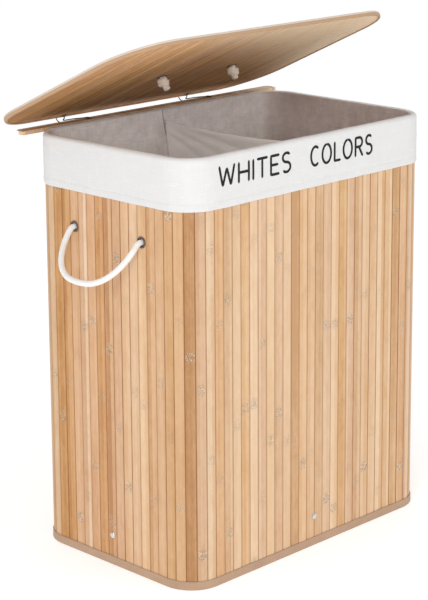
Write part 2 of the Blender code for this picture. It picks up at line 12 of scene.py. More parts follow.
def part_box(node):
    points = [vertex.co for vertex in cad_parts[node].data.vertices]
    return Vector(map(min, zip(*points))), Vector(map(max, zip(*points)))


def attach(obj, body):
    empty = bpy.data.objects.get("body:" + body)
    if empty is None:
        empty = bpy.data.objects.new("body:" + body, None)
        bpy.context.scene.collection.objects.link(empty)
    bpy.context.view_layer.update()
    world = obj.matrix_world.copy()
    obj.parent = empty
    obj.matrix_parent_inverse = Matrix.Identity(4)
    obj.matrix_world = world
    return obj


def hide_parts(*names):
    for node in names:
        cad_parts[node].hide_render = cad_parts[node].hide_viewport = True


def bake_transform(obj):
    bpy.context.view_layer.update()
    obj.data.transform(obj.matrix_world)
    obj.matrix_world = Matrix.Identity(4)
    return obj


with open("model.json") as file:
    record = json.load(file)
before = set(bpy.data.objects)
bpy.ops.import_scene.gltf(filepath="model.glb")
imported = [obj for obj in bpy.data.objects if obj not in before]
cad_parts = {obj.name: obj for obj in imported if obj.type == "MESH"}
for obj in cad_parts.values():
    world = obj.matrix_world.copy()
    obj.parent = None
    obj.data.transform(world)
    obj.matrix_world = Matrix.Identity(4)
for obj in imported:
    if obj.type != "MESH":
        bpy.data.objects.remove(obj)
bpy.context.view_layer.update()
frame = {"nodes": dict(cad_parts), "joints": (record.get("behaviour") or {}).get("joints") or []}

nodes = frame["nodes"]

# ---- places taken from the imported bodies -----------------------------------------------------

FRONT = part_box("front_slat_panel")[0].y
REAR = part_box("rear_slat_panel")[1].y
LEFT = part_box("left_slat_panel")[0].x
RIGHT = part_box("right_slat_panel")[1].x
MID_Y = (FRONT + REAR) / 2
HALF_X = (RIGHT - LEFT) / 2
HALF_Y = (REAR - FRONT) / 2
CORNER = 0.050  # radius of the upright corners, over the slats
LINER_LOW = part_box("liner_bag")[0].z
LINER_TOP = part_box("liner_bag")[1].z
CUFF_PROUD = 0.0018  # the cuff's face stands this far off the slats
RAIL_TOP = round(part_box("hinge_rail")[1].z, 4)
DIVIDER_HALF = 0.153

joints = {joint["name"]: joint for joint in frame["joints"]}
SWING_X, _, GRIP_Z = joints["right_handle_swing"]["pos_m"]
GRIP_HALF = 0.0705  # half the distance between a side handle's two holes
GRIP_REACH = 0.078  # from the line through the holes to the bottom of the loop
GRIP_TILT = math.radians(40.0)  # the loop leans out from the wall
ROPE_R = 0.00425

LID_TURN = -math.radians(joints["lid_hinge"]["range_deg"][0])
LID_AXIS = Vector(joints["lid_hinge"]["pos_m"])
LID_FRAME = Matrix.Translation(LID_AXIS) @ Matrix.Rotation(-LID_TURN, 4, "X")
LID_HALF = 0.2825
LID_NEAR, LID_FAR = 0.0020, 0.3600  # its rear and front edges, from the hinge
LID_Z = 0.0036  # half its thickness

# ---- camera ----------------------------------------------------------------------------------


def in_scene(name, data):
    obj = bpy.data.objects.new(name, data)
    bpy.context.scene.collection.objects.link(obj)
    return obj


def make_camera():
    turn, rise, roll = math.radians(-45.3101), math.radians(12.3421), math.radians(-0.3696)
    back = Vector(
        (math.sin(turn) * math.cos(rise), -math.cos(turn) * math.cos(rise), math.sin(rise))
    )
    right = Vector((math.cos(turn), math.sin(turn), 0.0))
    up = back.cross(right)
    side = math.cos(roll) * right + math.sin(roll) * up
    head = -math.sin(roll) * right + math.cos(roll) * up
    data = bpy.data.cameras.new("camera")
    data.sensor_fit = "VERTICAL"
    data.sensor_height = 36.0
    data.lens = 117.613044
    data.shift_y = -0.19
    data.clip_start = 0.05
    data.clip_end = 60.0
    obj = in_scene("camera", data)
    spin = Matrix((side, head, back)).transposed().to_4x4()
    obj.matrix_world = Matrix.Translation((-2.08079, -2.04027, 1.16461)) @ spin
    bpy.context.scene.camera = obj


make_camera()

# ---- node materials --------------------------------------------------------------------------


def operator(operation, flipped=False):
    """A method that adds a Math node; flipped puts the value itself last."""
    def apply(self, *other):
        return self.look.math(operation, *((*other, self) if flipped else (self, *other)))
    return apply


class Value:
    """A node's output. Arithmetic on it adds Math nodes to the same material."""

    def __init__(self, look, socket):
        self.look = look
        self.socket = socket

    __add__ = operator("ADD")
    __radd__ = operator("ADD", True)
    __sub__ = operator("SUBTRACT")
    __rsub__ = operator("SUBTRACT", True)
    __mul__ = operator("MULTIPLY")
    __truediv__ = operator("DIVIDE")
    __abs__ = operator("ABSOLUTE")
    __gt__ = operator("GREATER_THAN")


class Look:
    """A Principled material built up node by node."""

    def __init__(self, name, rough=0.5, metal=0.0, specular=0.5, sheen=0.0):
        self.material = bpy.data.materials.new(name)
        self.material.use_nodes = True
        self.tree = self.material.node_tree
        self.shader = self.tree.nodes["Principled BSDF"]
        for socket, value in (("Roughness", rough), ("Metallic", metal), ("Sheen Weight", sheen),
                              ("Specular IOR Level", specular), ("Sheen Roughness", 0.6)):
            self.shader.inputs[socket].default_value = value

    def put(self, socket, value):
        if isinstance(value, Value):
            self.tree.links.new(value.socket, socket)
        elif isinstance(value, (tuple, list)):
            size = len(socket.default_value)
            socket.default_value = (*value, 1.0)[:size] if len(value) < size else value
        else:
            socket.default_value = value

    def node(self, kind, inputs=(), **settings):
        made = self.tree.nodes.new("ShaderNode" + kind)
        for key, value in settings.items():
            setattr(made, key, value)
        for key, value in dict(inputs).items():
            self.put(made.inputs[key], value)
        return made

    def out(self, kind, inputs, output=0, **settings):
        return Value(self, self.node(kind, inputs, **settings).outputs[output])

    def math(self, operation, *values, clamp=False):
        return self.out("Math", dict(enumerate(values)), operation=operation, use_clamp=clamp)

    def vector_math(self, operation, a, b):
        return self.out("VectorMath", {0: a, 1: b}, operation=operation)

    def sine(self, value):
        return self.math("SINE", value)

    def place(self, kind="Object"):
        return self.out("TexCoord", {}, kind)

    def split(self, vector):
        return [Value(self, part) for part in self.node("SeparateXYZ", {0: vector}).outputs]

    def join(self, x, y, z):
        return self.out("CombineXYZ", {0: x, 1: y, 2: z})

    def noise(self, vector, scale=1.0, detail=2.0, rough=0.5, distortion=0.0):
        inputs = {"Vector": vector, "Scale": scale, "Detail": detail, "Roughness": rough}
        inputs["Distortion"] = distortion
        return self.out("TexNoise", inputs)

    def random(self, value):
        return self.out("TexWhiteNoise", {"W": value}, "Value", noise_dimensions="1D")

    def span(self, value, low, high, to_low=0.0, to_high=1.0, smooth=True):
        inputs = {0: value, 1: low, 2: high, 3: to_low, 4: to_high}
        kind = "SMOOTHSTEP" if smooth else "LINEAR"
        return self.out("MapRange", inputs, interpolation_type=kind)

    def ramp(self, value, *stops):
        made = self.node("ValToRGB", {0: value})
        band = made.color_ramp
        while len(band.elements) < len(stops):
            band.elements.new(0.5)
        for element, (at, colour) in zip(band.elements, stops):
            element.position = at
            element.color = (*colour, 1.0)
        return Value(self, made.outputs[0])

    def mix(self, factor, a, b):
        return self.out("Mix", {0: factor, 6: a, 7: b}, 2, data_type="RGBA")

    def tint(self, colour, value, saturation=1.0, hue=0.5):
        inputs = {"Hue": hue, "Saturation": saturation, "Value": value, "Color": colour}
        return self.out("HueSaturation", inputs)

    def colour(self, value):
        self.put(self.shader.inputs["Base Color"], value)

    def rough(self, value):
        self.put(self.shader.inputs["Roughness"], value)

    def bump(self, height, distance, strength=1.0):
        inputs = {"Height": height, "Distance": distance, "Strength": strength}
        self.put(self.shader.inputs["Normal"], self.out("Bump", inputs))


# tones of the slats, from the darkest to the palest; PALE is a paler, less saturated copy of WARM,
# a painted sheen
WARM = ((0.0, (0.49, 0.235, 0.102)), (0.25, (0.61, 0.335, 0.165)), (0.5, (0.70, 0.425, 0.24)),
        (0.75, (0.77, 0.505, 0.305)), (1.0, (0.86, 0.63, 0.425)))
PALE = ((0.0, (0.57, 0.315, 0.155)), (0.25, (0.68, 0.415, 0.23)), (0.5, (0.755, 0.51, 0.32)),
        (0.75, (0.805, 0.58, 0.39)), (1.0, (0.87, 0.67, 0.49)))
BROWN = ((0.0, (0.33, 0.145, 0.052)), (0.3, (0.43, 0.215, 0.086)), (0.6, (0.52, 0.28, 0.125)),
         (0.85, (0.60, 0.355, 0.175)), (1.0, (0.68, 0.44, 0.25)))
JOINT_BROWN = (0.33, 0.11, 0.018, 1.0)
# painted light: the pale wash over the lid underside's free edge and right end
PAINTED_LIGHT_PALE = (0.98, 0.75, 0.52, 1.0)
NODE_PALE = (0.93, 0.76, 0.57, 1.0)


def lid_underside(look, tones, shade, x, c, run):
    """Colour of the lid's lower face: painted shade darkens it by the hinge, and painted light
    makes it paler toward its free edge and its right end, with dark flecks and fine grooves along
    the grain."""
    reach = run * -1.0
    # lean: painted shade by the hinge, turning to painted light toward the free edge and right end
    lean = reach * 1.9 + x * 0.25
    below = look.tint(look.ramp(shade, *tones), look.span(lean, 0.08, 0.70, 0.82, 1.62, False),
                      look.span(lean, 0.08, 0.70, 1.08, 0.86, False))
    fleck = look.noise(look.join(c * 640.0, run * 30.0, 2.2), 1.0, 2.0, 0.6)
    below = look.tint(below, look.span(fleck, 0.56, 0.68, 1.05, 0.70))
    groove = look.noise(look.join(c * 470.0, run * 3.0, 7.7), 1.0, 1.0)
    below = look.tint(below, look.span(groove, 0.52, 0.62, 1.07, 0.76))
    # painted light: a pale wash toward the free edge and right end, a painted reflection of the
    # white surroundings
    wear_and_painted_light = reach * 1.3 + x * 0.9
    return look.mix(look.span(wear_and_painted_light, 0.26, 0.52, 0.0, 0.88), below, PAINTED_LIGHT_PALE)


def growth_nodes(look, c, run, off, pitch, seed, key, draws, most):
    """Crinkled patches across the slats, at heights of each slat's own: how strong their dark
    parts and their light parts are, and the light parts alone. draws are the slat's two random
    numbers, and most is how bold a patch can be."""
    other, third = draws
    spacing = 0.22 + third * 0.14
    count = run / spacing + other * 5.0
    away = abs(look.math("FRACT", count) - 0.5) * spacing
    from_edge = off / (pitch / 2)
    bowed = away + (1.0 - from_edge) * 0.0030
    patch = look.span(bowed, 0.0120, 0.0060) * look.span(from_edge, 0.05, 0.3)
    crinkle = look.noise(look.join(c * 400.0, run * 330.0, seed), 1.0, 2.0, 0.6, 2.2)
    lines = look.span(crinkle, 0.47, 0.54)
    light = patch * lines
    chance = look.random(key + (57.1 + look.math("FLOOR", count) * 7.3))
    bold = 0.18 + chance * chance * most
    return patch * (1.0 - lines) * bold, light * bold, light


def joint_line(look, off, joint, run, seed):
    """How strong the dark line at a joint is: its own strength, uneven along the joint."""
    faint = look.random(joint + (seed * 2.0 + 13.7))
    wear_and_painted_light = look.noise(look.join(joint, run * 14.0, seed), 1.0, 2.0)
    depth = (0.46 + faint * faint * 0.54) * look.span(wear_and_painted_light, 0.25, 0.6, 0.70, 1.0)
    return look.span(off, 0.00125, 0.00045) * depth


def bamboo(name, across, along, pitch, seed, stops=PALE, joint_dark=1.0, value=0.935,
           turned=None, under=None, fibre_depth=0.10, rough=0.40, specular=0.42, fine=185.0):
    """Bamboo slats. across gives the distance across the slats from the first joint, and along is
    the axis that they run along, in the frame that turned gives. under gives the tones of the
    face below."""
    look = Look(name, rough=rough, specular=specular)
    where = turned(look, look.place()) if turned else look.place()
    x, y, z = look.split(where)
    c = across(look, x, y)
    run = (x, y, z)[along]
    s = c / pitch
    slat = look.math("FLOOR", s)
    joint = look.math("ROUND", s)
    off = abs(s - joint) * pitch
    key = slat + seed
    tone, other, third = (look.random(k) for k in (key, key + 171.3, key + 391.7))

    # strips of slightly different tone within one slat, and its fine fibres
    shift = other * 0.9
    strips = look.noise(look.join(c * fine, run * 0.9, shift), 1.0, 3.0, 0.7)
    cloud = look.noise(look.join(c * 95.0, run * 34.0, key * 0.37), 1.0, 4.0, 0.72)
    long_tone = look.noise(look.join(slat * 3.7, run * 3.2, seed), 1.0, 2.0, 0.5)
    fibres = look.noise(look.join(c * 1500.0, run * 16.0, shift), 1.0, 3.0, 0.62)
    strip = look.random(key * 2.0 + (look.math("FRACT", s) > 0.28 + third * 0.44))
    shares = (0.26, 2.1, 0.16, 0.40) if under else (0.60, 0.60, 0.46, 0.62)
    shade = (tone - 0.5) * shares[0]
    for source, share in zip((strips, strip, cloud), shares[1:]):
        shade = shade + (source - 0.5) * share
    shade = look.math("ADD", shade + 0.5, (long_tone - 0.5) * 0.55, clamp=True)
    colour = look.ramp(shade, *stops)
    if under:
        colour = look.mix(z > 0.0, lid_underside(look, under, shade, x, c, run), colour)
    bright = (1.0 - fibre_depth) * value + fibres * (2 * fibre_depth * value)
    colour = look.tint(colour, bright, 0.95 + other * 0.16, 0.4985 + third * 0.0065)

    dark, pale, light = growth_nodes(look, c, run, off, pitch, seed, key, (other, third),
                                     0.2 if under else 0.95)
    colour = look.tint(colour, 1.0 - dark * 0.46)
    colour = look.mix(pale * 0.48, colour, NODE_PALE)
    line = joint_line(look, off, joint, run, seed)
    colour = look.mix(line * joint_dark, colour, JOINT_BROWN)
    edge = look.span(off, 0.0030, 0.0010) * (0.06 * joint_dark)
    look.colour(look.tint(colour, 1.0 - edge))
    look.rough(rough + fibres * 0.16)
    look.bump(fibres + light * 1.2, 0.00016, 0.55)
    return look.material


def wave(look, value, pitch):
    return look.sine(value * (2 * math.pi / pitch))


def cloth(name, low, high, pitch=0.0011, slub=0.5, rough=0.92, sheen=0.15, soil=0.0,
          plane=None, depth=0.00012, lining=False, patchy=0.0):
    """Plain-woven cloth between two tones. It reads its threads from the piece's own run (UV, in
    metres) or, with plane, from two of its coordinates. lining adds the liner's seam line and
    the painted shade on its right wall."""
    look = Look(name, rough=rough, specular=0.25, sheen=sheen)
    where = look.place()
    u, v = [look.split(where)[k] for k in plane] if plane else look.split(look.place("UV"))[:2]
    threads = 0.5 + wave(look, u, pitch) * wave(look, v, pitch) * 0.5
    weft = look.noise(look.join(u * 38.0, v * 1500.0, 0.3), 1.0, 3.0, 0.6)
    warp = look.noise(look.join(u * 1500.0, v * 38.0, 4.7), 1.0, 3.0, 0.6)
    fleck = weft * 0.5 + warp * 0.5
    slubs = look.noise(look.join(u * 55.0, v * 420.0, 9.1), 1.0, 2.0, 0.6)
    value = fleck * 0.72 + threads * 0.28
    value = value + look.span(slubs, 0.60, 0.78) * (slub * 0.5)
    value = value + (look.noise(where, 9.0, 3.0, 0.55) - 0.5) * soil
    if patchy:
        value = value + (look.noise(where, 62.0, 4.0, 0.72) - 0.5) * patchy
    colour = look.ramp(value, (0.18, low), (0.72, high))
    look.colour(lining_marks(look, where, colour) if lining else colour)
    look.bump(threads + fleck * 0.9 + slubs * slub, depth, 0.8)
    return look.material


def lining_marks(look, where, colour):
    """The liner's seam down the rear wall, and painted shade on its right wall: darker and browner.
    """
    x, y, z = look.split(where)
    fall = look.span(z, 0.628, 0.560, 0.0, 0.0112)
    line = look.span(abs(x - fall), 0.0016, 0.0007) * (y > MID_Y + 0.12)
    colour = look.tint(colour, 1.0 - line * 0.46)
    # painted shade: the right wall darker and browner, with a painted brown bounce from the lid
    right = look.span(x, HALF_X - 0.045, HALF_X - 0.016)
    return look.tint(colour, 1.0 - right * 0.30, 1.0 + right * 0.80)


def twill(name, low, high, pitch=0.0013, hinge=None):
    """Narrow twill tape with a diagonal rib. hinge gives the darker tones of the lid's tape along
    its hinge edge, painted shade; the lid's tape is also painted brown on its lower side, painted
    shade."""
    look = Look(name, rough=0.88, specular=0.25, sheen=0.12)
    u, v, _ = look.split(look.place("UV"))
    rib = 0.5 + wave(look, u + v * 0.8, pitch) * 0.5
    yarn = look.noise(look.join(u * 900.0, v * 900.0, 0.0), 1.0, 2.0)
    value = rib * 0.22 + yarn * 0.42
    value = value + look.noise(look.place(), 24.0, 3.0, 0.6) * 0.36
    colour = look.ramp(value, (0.25, low), (0.75, high))
    if hinge:
        # painted shade: the lid's tape darker along its hinge edge
        height = look.split(look.place())[2]
        hinge_painted_shade = look.ramp(value, (0.25, hinge[0]), (0.75, hinge[1]))
        colour = look.mix(look.span(height, 0.645, 0.690), hinge_painted_shade, colour)
        # painted shade: the lower side of the lid's tape brown
        thick = look.split(to_lid(look, look.place()))[2]
        colour = look.mix(look.span(thick, 0.0002, 0.0014), (0.50, 0.315, 0.185, 1.0), colour)
    look.colour(colour)
    look.bump(rib + yarn, 0.00014, 0.8)
    return look.material


def cotton(name, low, high):
    """Brushed cotton rope, its fibres slanting across the run."""
    look = Look(name, rough=0.86, specular=0.28, sheen=0.25)
    u, v, _ = look.split(look.place("UV"))
    fibre = look.noise(look.join((u + v) * 700.0, (u - v) * 1900.0, 0.0), 1.0, 3.0, 0.6)
    value = fibre * 0.6 + look.noise(look.place(), 90.0, 2.0) * 0.4
    look.colour(look.ramp(value, (0.25, low), (0.70, high)))
    look.bump(fibre, 0.00025, 0.7)
    return look.material


def metal(name, low, high, rough, grain=220.0):
    look = Look(name, rough=rough, metal=1.0)
    broad = look.noise(look.place(), grain, 4.0, 0.6)
    fine = look.noise(look.place(), grain * 9.0, 2.0)
    look.colour(look.ramp(broad, (0.3, low), (0.7, high)))
    look.rough(rough - 0.08 + fine * 0.20)
    look.bump(fine, 0.00003, 0.5)
    return look.material


def board(name, low, high, stretch):
    """Fibreboard or sawn wood; stretch gives the fibre direction as three scales."""
    look = Look(name, rough=0.78, specular=0.3)
    fibre = look.noise(look.vector_math("MULTIPLY", look.place(), stretch), 1.0, 5.0, 0.65, 0.4)
    value = fibre * 0.75 + look.noise(look.place(), 900.0, 2.0) * 0.25
    look.colour(look.ramp(value, (0.3, low), (0.7, high)))
    look.bump(value, 0.0002, 0.6)
    return look.material


def thread(name, low, high):
    """Satin stitch: tight threads laid across the stroke, from the stroke's own run."""
    look = Look(name, rough=0.58, specular=0.22)
    u, v, _ = look.split(look.place("UV"))
    fuzz = look.noise(look.join(u * 1800.0, v * 240.0, 0.0), 1.0, 2.0)
    value = wave(look, u + v * 0.25, 0.00055) * 0.25 + fuzz
    look.colour(look.ramp(value, (0.2, low), (0.9, high)))
    look.bump(value, 0.00012, 0.8)
    return look.material


def to_lid(look, where):
    """Coordinates in the closed lid's own frame: X along the hinge, Y from the hinge."""
    moved = look.vector_math("ADD", where, tuple(-v for v in LID_AXIS))
    return look.out("VectorRotate", {"Vector": moved, "Angle": LID_TURN}, rotation_type="X_AXIS")


# ---- mesh helpers ----------------------------------------------------------------------------


def add(name, mesh, material, smooth=True):
    obj = in_scene(name, mesh)
    mesh.materials.clear()
    mesh.materials.append(material)
    mesh.polygons.foreach_set("use_smooth", [smooth] * len(mesh.polygons))
    return obj


def piece(name, mesh, material, body, stands_for=None):
    """Adds a piece that moves with a body, in place of a CAD part where it stands for one."""
    made = add(name, mesh, material)
    if stands_for:
        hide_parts(stands_for)
    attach(made, body)
    return made


def mesh_of(name, verts, faces, uvs):
    """Mesh from corners; uvs gives each face's corners their run in metres."""
    mesh = bpy.data.meshes.new(name)
    mesh.from_pydata([tuple(v) for v in verts], [], faces)
    layer = mesh.uv_layers.new(name="run")
    flat = [value for face in uvs for corner in face for value in corner]
    layer.data.foreach_set("uv", flat)
    mesh.update()
    return mesh


def grid_faces(rows, columns, ring_rows, ring_columns, base=0):
    faces = []
    for i in range(rows if ring_rows else rows - 1):
        for k in range(columns if ring_columns else columns - 1):
            a, b = i, (i + 1) % rows
            c, d = k, (k + 1) % columns
            faces.append(tuple(base + r * columns + q for r, q in ((a, c), (b, c), (b, d), (a, d))))
    return faces


def grid_runs(runs, walk):
    """Each grid face's corners, as distances run along the rows and along the columns."""
    return [((a, c), (b, c), (b, d), (a, d)) for a, b in zip(runs, runs[1:])
            for c, d in zip(walk, walk[1:])]


def outward(mesh):
    bm = bmesh.new()
    bm.from_mesh(mesh)
    bmesh.ops.recalc_face_normals(bm, faces=bm.faces)
    bm.to_mesh(mesh)
    bm.free()
    return mesh


def stations(half_x, half_y, radius, middle=(0.0, 0.0), spacing=0.004, arc=16):
    """Stations round a rounded rectangle, from the middle of its +Y side, anticlockwise: each is
    (x, y, outward x, outward y, distance run)."""
    cx, cy = middle
    found, run = [], 0.0

    def line(x0, y0, x1, y1, nx, ny):
        nonlocal run
        length = math.hypot(x1 - x0, y1 - y0)
        count = max(1, round(length / spacing))
        for i in range(count):
            t = i / count
            found.append((cx + x0 + (x1 - x0) * t, cy + y0 + (y1 - y0) * t, nx, ny,
                          run + length * t))
        run += length

    def bend(x, y, start):
        nonlocal run
        for i in range(arc):
            angle = start + math.pi / 2 * i / arc
            c, s = math.cos(angle), math.sin(angle)
            found.append((cx + x + radius * c, cy + y + radius * s, c, s,
                          run + radius * math.pi / 2 * i / arc))
        run += radius * math.pi / 2

    ix, iy = half_x - radius, half_y - radius
    line(0, half_y, -ix, half_y, 0, 1)
    bend(-ix, iy, math.pi / 2)
    line(-half_x, iy, -half_x, -iy, -1, 0)
    bend(-ix, -iy, math.pi)
    line(-ix, -half_y, ix, -half_y, 0, -1)
    bend(ix, -iy, 3 * math.pi / 2)
    line(half_x, -iy, half_x, iy, 1, 0)
    bend(ix, iy, 0.0)
    line(ix, half_y, 0, half_y, 0, 1)
    return found, run


def swept(name, ring, profile, shape):
    """Sweeps a closed (depth, z) profile round the stations; shape moves each of its points."""
    found, total = ring
    verts = []
    for x, y, nx, ny, s in found:
        for k, (d, z) in enumerate(profile):
            d, z = shape(x, y, nx, ny, s, d, z, k)
            verts.append((x - nx * d, y - ny * d, z))
    walk = [0.0]
    for (da, za), (db, zb) in zip(profile, profile[1:] + profile[:1]):
        walk.append(walk[-1] + math.hypot(db - da, zb - za))
    faces = grid_faces(len(found), len(profile), True, True)
    uvs = grid_runs([s for *_, s in found] + [total], walk)
    return outward(mesh_of(name, verts, faces, uvs))


def smooth_path(points, step):
    """Catmull-Rom through the points, resampled at an even step."""
    points = [Vector(p) for p in points]
    padded = [2 * points[0] - points[1], *points, 2 * points[-1] - points[-2]]
    dense = []
    for i in range(1, len(padded) - 2):
        a, b, c, d = padded[i - 1: i + 3]
        for j in range(24):
            t = j / 24
            dense.append(0.5 * ((2 * b) + (c - a) * t + (2 * a - 5 * b + 4 * c - d) * t * t
                                + (3 * b - a - 3 * c + d) * t ** 3))
    dense.append(points[-1])
    lengths = [0.0]
    for a, b in zip(dense, dense[1:]):
        lengths.append(lengths[-1] + (b - a).length)
    count = max(3, round(lengths[-1] / step))
    out, j = [], 0
    for i in range(count + 1):
        want = lengths[-1] * i / count
        while j < len(lengths) - 2 and lengths[j + 1] < want:
            j += 1
        t = (want - lengths[j]) / max(lengths[j + 1] - lengths[j], 1e-12)
        out.append(dense[j].lerp(dense[j + 1], min(max(t, 0.0), 1.0)))
    return out, lengths[-1]


def tube(name, path, radius, around=20, braid=0.055, carriers=6, lay=0.034, swell=None):
    """A round cord along a path, with a braid of diamonds raised on it. lay is the length in which
    a strand goes once round, and swell gives the thickness along it."""
    tangents = []
    for i in range(len(path)):
        a, b = path[max(i - 1, 0)], path[min(i + 1, len(path) - 1)]
        tangents.append((b - a).normalized())
    side = tangents[0].orthogonal().normalized()
    verts, runs, run = [], [], 0.0
    for i, (p, t) in enumerate(zip(path, tangents)):
        if i:
            run += (p - path[i - 1]).length
        side = (side - t * side.dot(t)).normalized()
        other = t.cross(side)
        runs.append(run)
        thick = radius * (swell(i / (len(path) - 1)) if swell else 1.0)
        for k in range(around):
            angle = 2 * math.pi * k / around
            twist = math.pi * run / lay * carriers
            strand = max(math.cos(carriers * angle + twist), math.cos(carriers * angle - twist))
            r = thick * (1.0 + braid * (strand - 0.55))
            verts.append(p + (side * math.cos(angle) + other * math.sin(angle)) * r)
    rows = len(path)
    faces = grid_faces(rows, around, False, True)
    turn = 2 * math.pi * radius / around
    uvs = grid_runs(runs, [k * turn for k in range(around + 1)])
    for row, tangent in ((0, -1), (rows - 1, 1)):
        centre = len(verts)
        verts.append(path[row] + tangents[row] * tangent * radius * 0.35)
        for k in range(around):
            faces.append((row * around + k, row * around + (k + 1) % around, centre))
            uvs.append(((runs[row], k * turn), (runs[row], (k + 1) * turn), (runs[row], 0.0)))
    return outward(mesh_of(name, verts, faces, uvs))


def noise_at(x, y, z):
    return noise.noise(Vector((x, y, z)))


def wobble(x, y, z, scale, seed=0.0):
    return noise_at(x * scale + seed, y * scale - seed, z * scale + 2 * seed)


def near(value, middle, width):
    """1 at the middle, falling smoothly to 0 a few widths away."""
    return math.exp(-((value - middle) / width) ** 2)


def soften(obj, degrees):
    """Smooth across shallow edges only; the corners of a CAD mesh stay where they are."""
    mesh = obj.data
    if "custom_normal" in mesh.attributes:
        mesh.attributes.remove(mesh.attributes["custom_normal"])
    mesh.polygons.foreach_set("use_smooth", [True] * len(mesh.polygons))
    mesh.set_sharp_from_angle(angle=math.radians(degrees))


def dress(name, material, degrees=30.0):
    obj = nodes[name]
    obj.data.materials.clear()
    obj.data.materials.append(material)
    soften(obj, degrees)
    return obj


# ---- cords -----------------------------------------------------------------------------------

cotton_white = cotton("cotton_white", (0.80, 0.785, 0.76), (0.94, 0.93, 0.915))
# the knots' cotton: the white rope's cotton in painted shade, warmed by a painted brown bounce from
# the lid
cotton_painted_shade = cotton("cotton_painted_shade", (0.66, 0.545, 0.445), (0.88, 0.76, 0.64))
elastic_black = twill("elastic_black", (0.010, 0.010, 0.010), (0.035, 0.034, 0.033), 0.0006)


def rope(name, points, stands_for):
    """Cotton rope through the points, in place of a CAD rope."""
    path, length = smooth_path(points, 0.0013)
    made = add(name, tube(name, path, ROPE_R, 24), cotton_white)
    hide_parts(stands_for)
    return made, path, length


def knot(name, stands_for, body, top, down, sideways, tail, small=1.0):
    """Stopper knot: the rope wraps almost twice round itself and its cut end hangs out below."""
    down = Vector(down).normalized()
    sideways = (Vector(sideways) - down * Vector(sideways).dot(down)).normalized()
    across = down.cross(sideways)
    points = []

    def put(turn, reach, fall):
        angle = math.radians(turn)
        flat = sideways * math.cos(angle) + across * math.sin(angle)
        points.append(Vector(top) + (flat * reach + down * fall) * small)

    put(0, 0.0, 0.0002)
    put(10, 0.0026, 0.0016)
    for step in range(13):
        share = step / 12
        put(40 + 620 * share, 0.0050 - 0.0004 * share, 0.0034 + 0.0068 * share)
    put(700, 0.0032, 0.0112)
    put(30, 0.0030, 0.0112 + tail * 0.35)
    put(20, 0.0044, 0.0112 + tail * 0.70)
    put(20, 0.0054, 0.0112 + tail)
    path, _ = smooth_path(points, 0.0011)

    def swell(t):
        end = max(0.0, t - 0.92) / 0.08
        return 1.04 + 0.22 * end - 0.16 * near(t, 0.88, 0.04)

    mesh = tube(name, path, ROPE_R * 0.95 * small, 18, 0.07, 4, 0.020, swell)
    return piece(name, mesh, cotton_painted_shade, body, stands_for)


def side_handle(side, sx):
    """Rope through the two eyelets of an end wall: a stub in each hole and a hanging loop."""
    wall = sx * HALF_X
    points = []
    for sy, angles in ((1, range(10, 91, 10)), (-1, range(100, 171, 10))):
        hole_y = MID_Y + sy * GRIP_HALF
        stub = [(wall - sx * 0.0062, hole_y, GRIP_Z), (wall - sx * 0.0020, hole_y, GRIP_Z),
                (wall + sx * 0.0030, hole_y, GRIP_Z - 0.0002),
                (wall + sx * 0.0078, MID_Y + sy * GRIP_HALF * 0.998, GRIP_Z - 0.0028)]
        bend = []
        for degrees in angles:
            a = math.radians(degrees)
            reach = GRIP_REACH * math.sin(a)
            wide = math.copysign(abs(math.cos(a)) ** 0.80, math.cos(a))
            bend.append((sx * (SWING_X + reach * math.sin(GRIP_TILT)), MID_Y + GRIP_HALF * wide,
                         GRIP_Z - reach * math.cos(GRIP_TILT)))
        points += stub + bend if sy > 0 else bend + stub[::-1]
    loop, path, length = rope(side + "_grip_rope", points, side + "_handle_rope")
    for end, sy in (("front", -1), ("rear", 1)):
        top = (wall - sx * 0.0066, MID_Y + sy * GRIP_HALF, GRIP_Z)
        knot(f"{side}_{end}_stopper_knot", f"{side}_{end}_knot", "hamper", top,
                          (-sx, 0, 0), (0, 0, 1), 0.002, 0.86)
    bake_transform(loop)


side_handle("left", -1)
side_handle("right", 1)


def lid_handle():
    """Rope arched over the lid's upper face, laid out in the closed lid's frame; its two knots lie
    under the lid."""
    middle_x, hole_s, half = 0.0150, 0.1650, 0.0740
    rise, top = 0.0051, 0.0440
    points = [(middle_x - half, -hole_s, -0.0071), (middle_x - half, -hole_s, 0.0)]
    for step in range(1, 14):
        angle = math.pi * (1 - step / 14)
        points.append((middle_x + half * math.cos(angle), -hole_s,
                       rise + (top - rise) * math.sin(angle)))
    points += [(middle_x + half, -hole_s, 0.0), (middle_x + half, -hole_s, -0.0071)]
    points = [LID_FRAME @ Vector(p) for p in points]
    arch, path, length = rope("lid_grip_rope", points, "lid_handle_rope")
    for side, sx, turn in (("left", -1, (0.35, -1, 0)), ("right", 1, (-0.2, -1, 0))):
        at = LID_FRAME @ Vector((middle_x + sx * half, -hole_s, -0.0046))
        lean = Vector((0.0, -0.12, -1.0))
        down = (LID_FRAME.to_3x3() @ Vector((0, 0, -1))).lerp(lean, 0.55)
        knot(side + "_lid_stopper_knot", side + "_lid_knot", "lid", at, down, turn,
                          0.0066)
    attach(arch, "lid")


lid_handle()


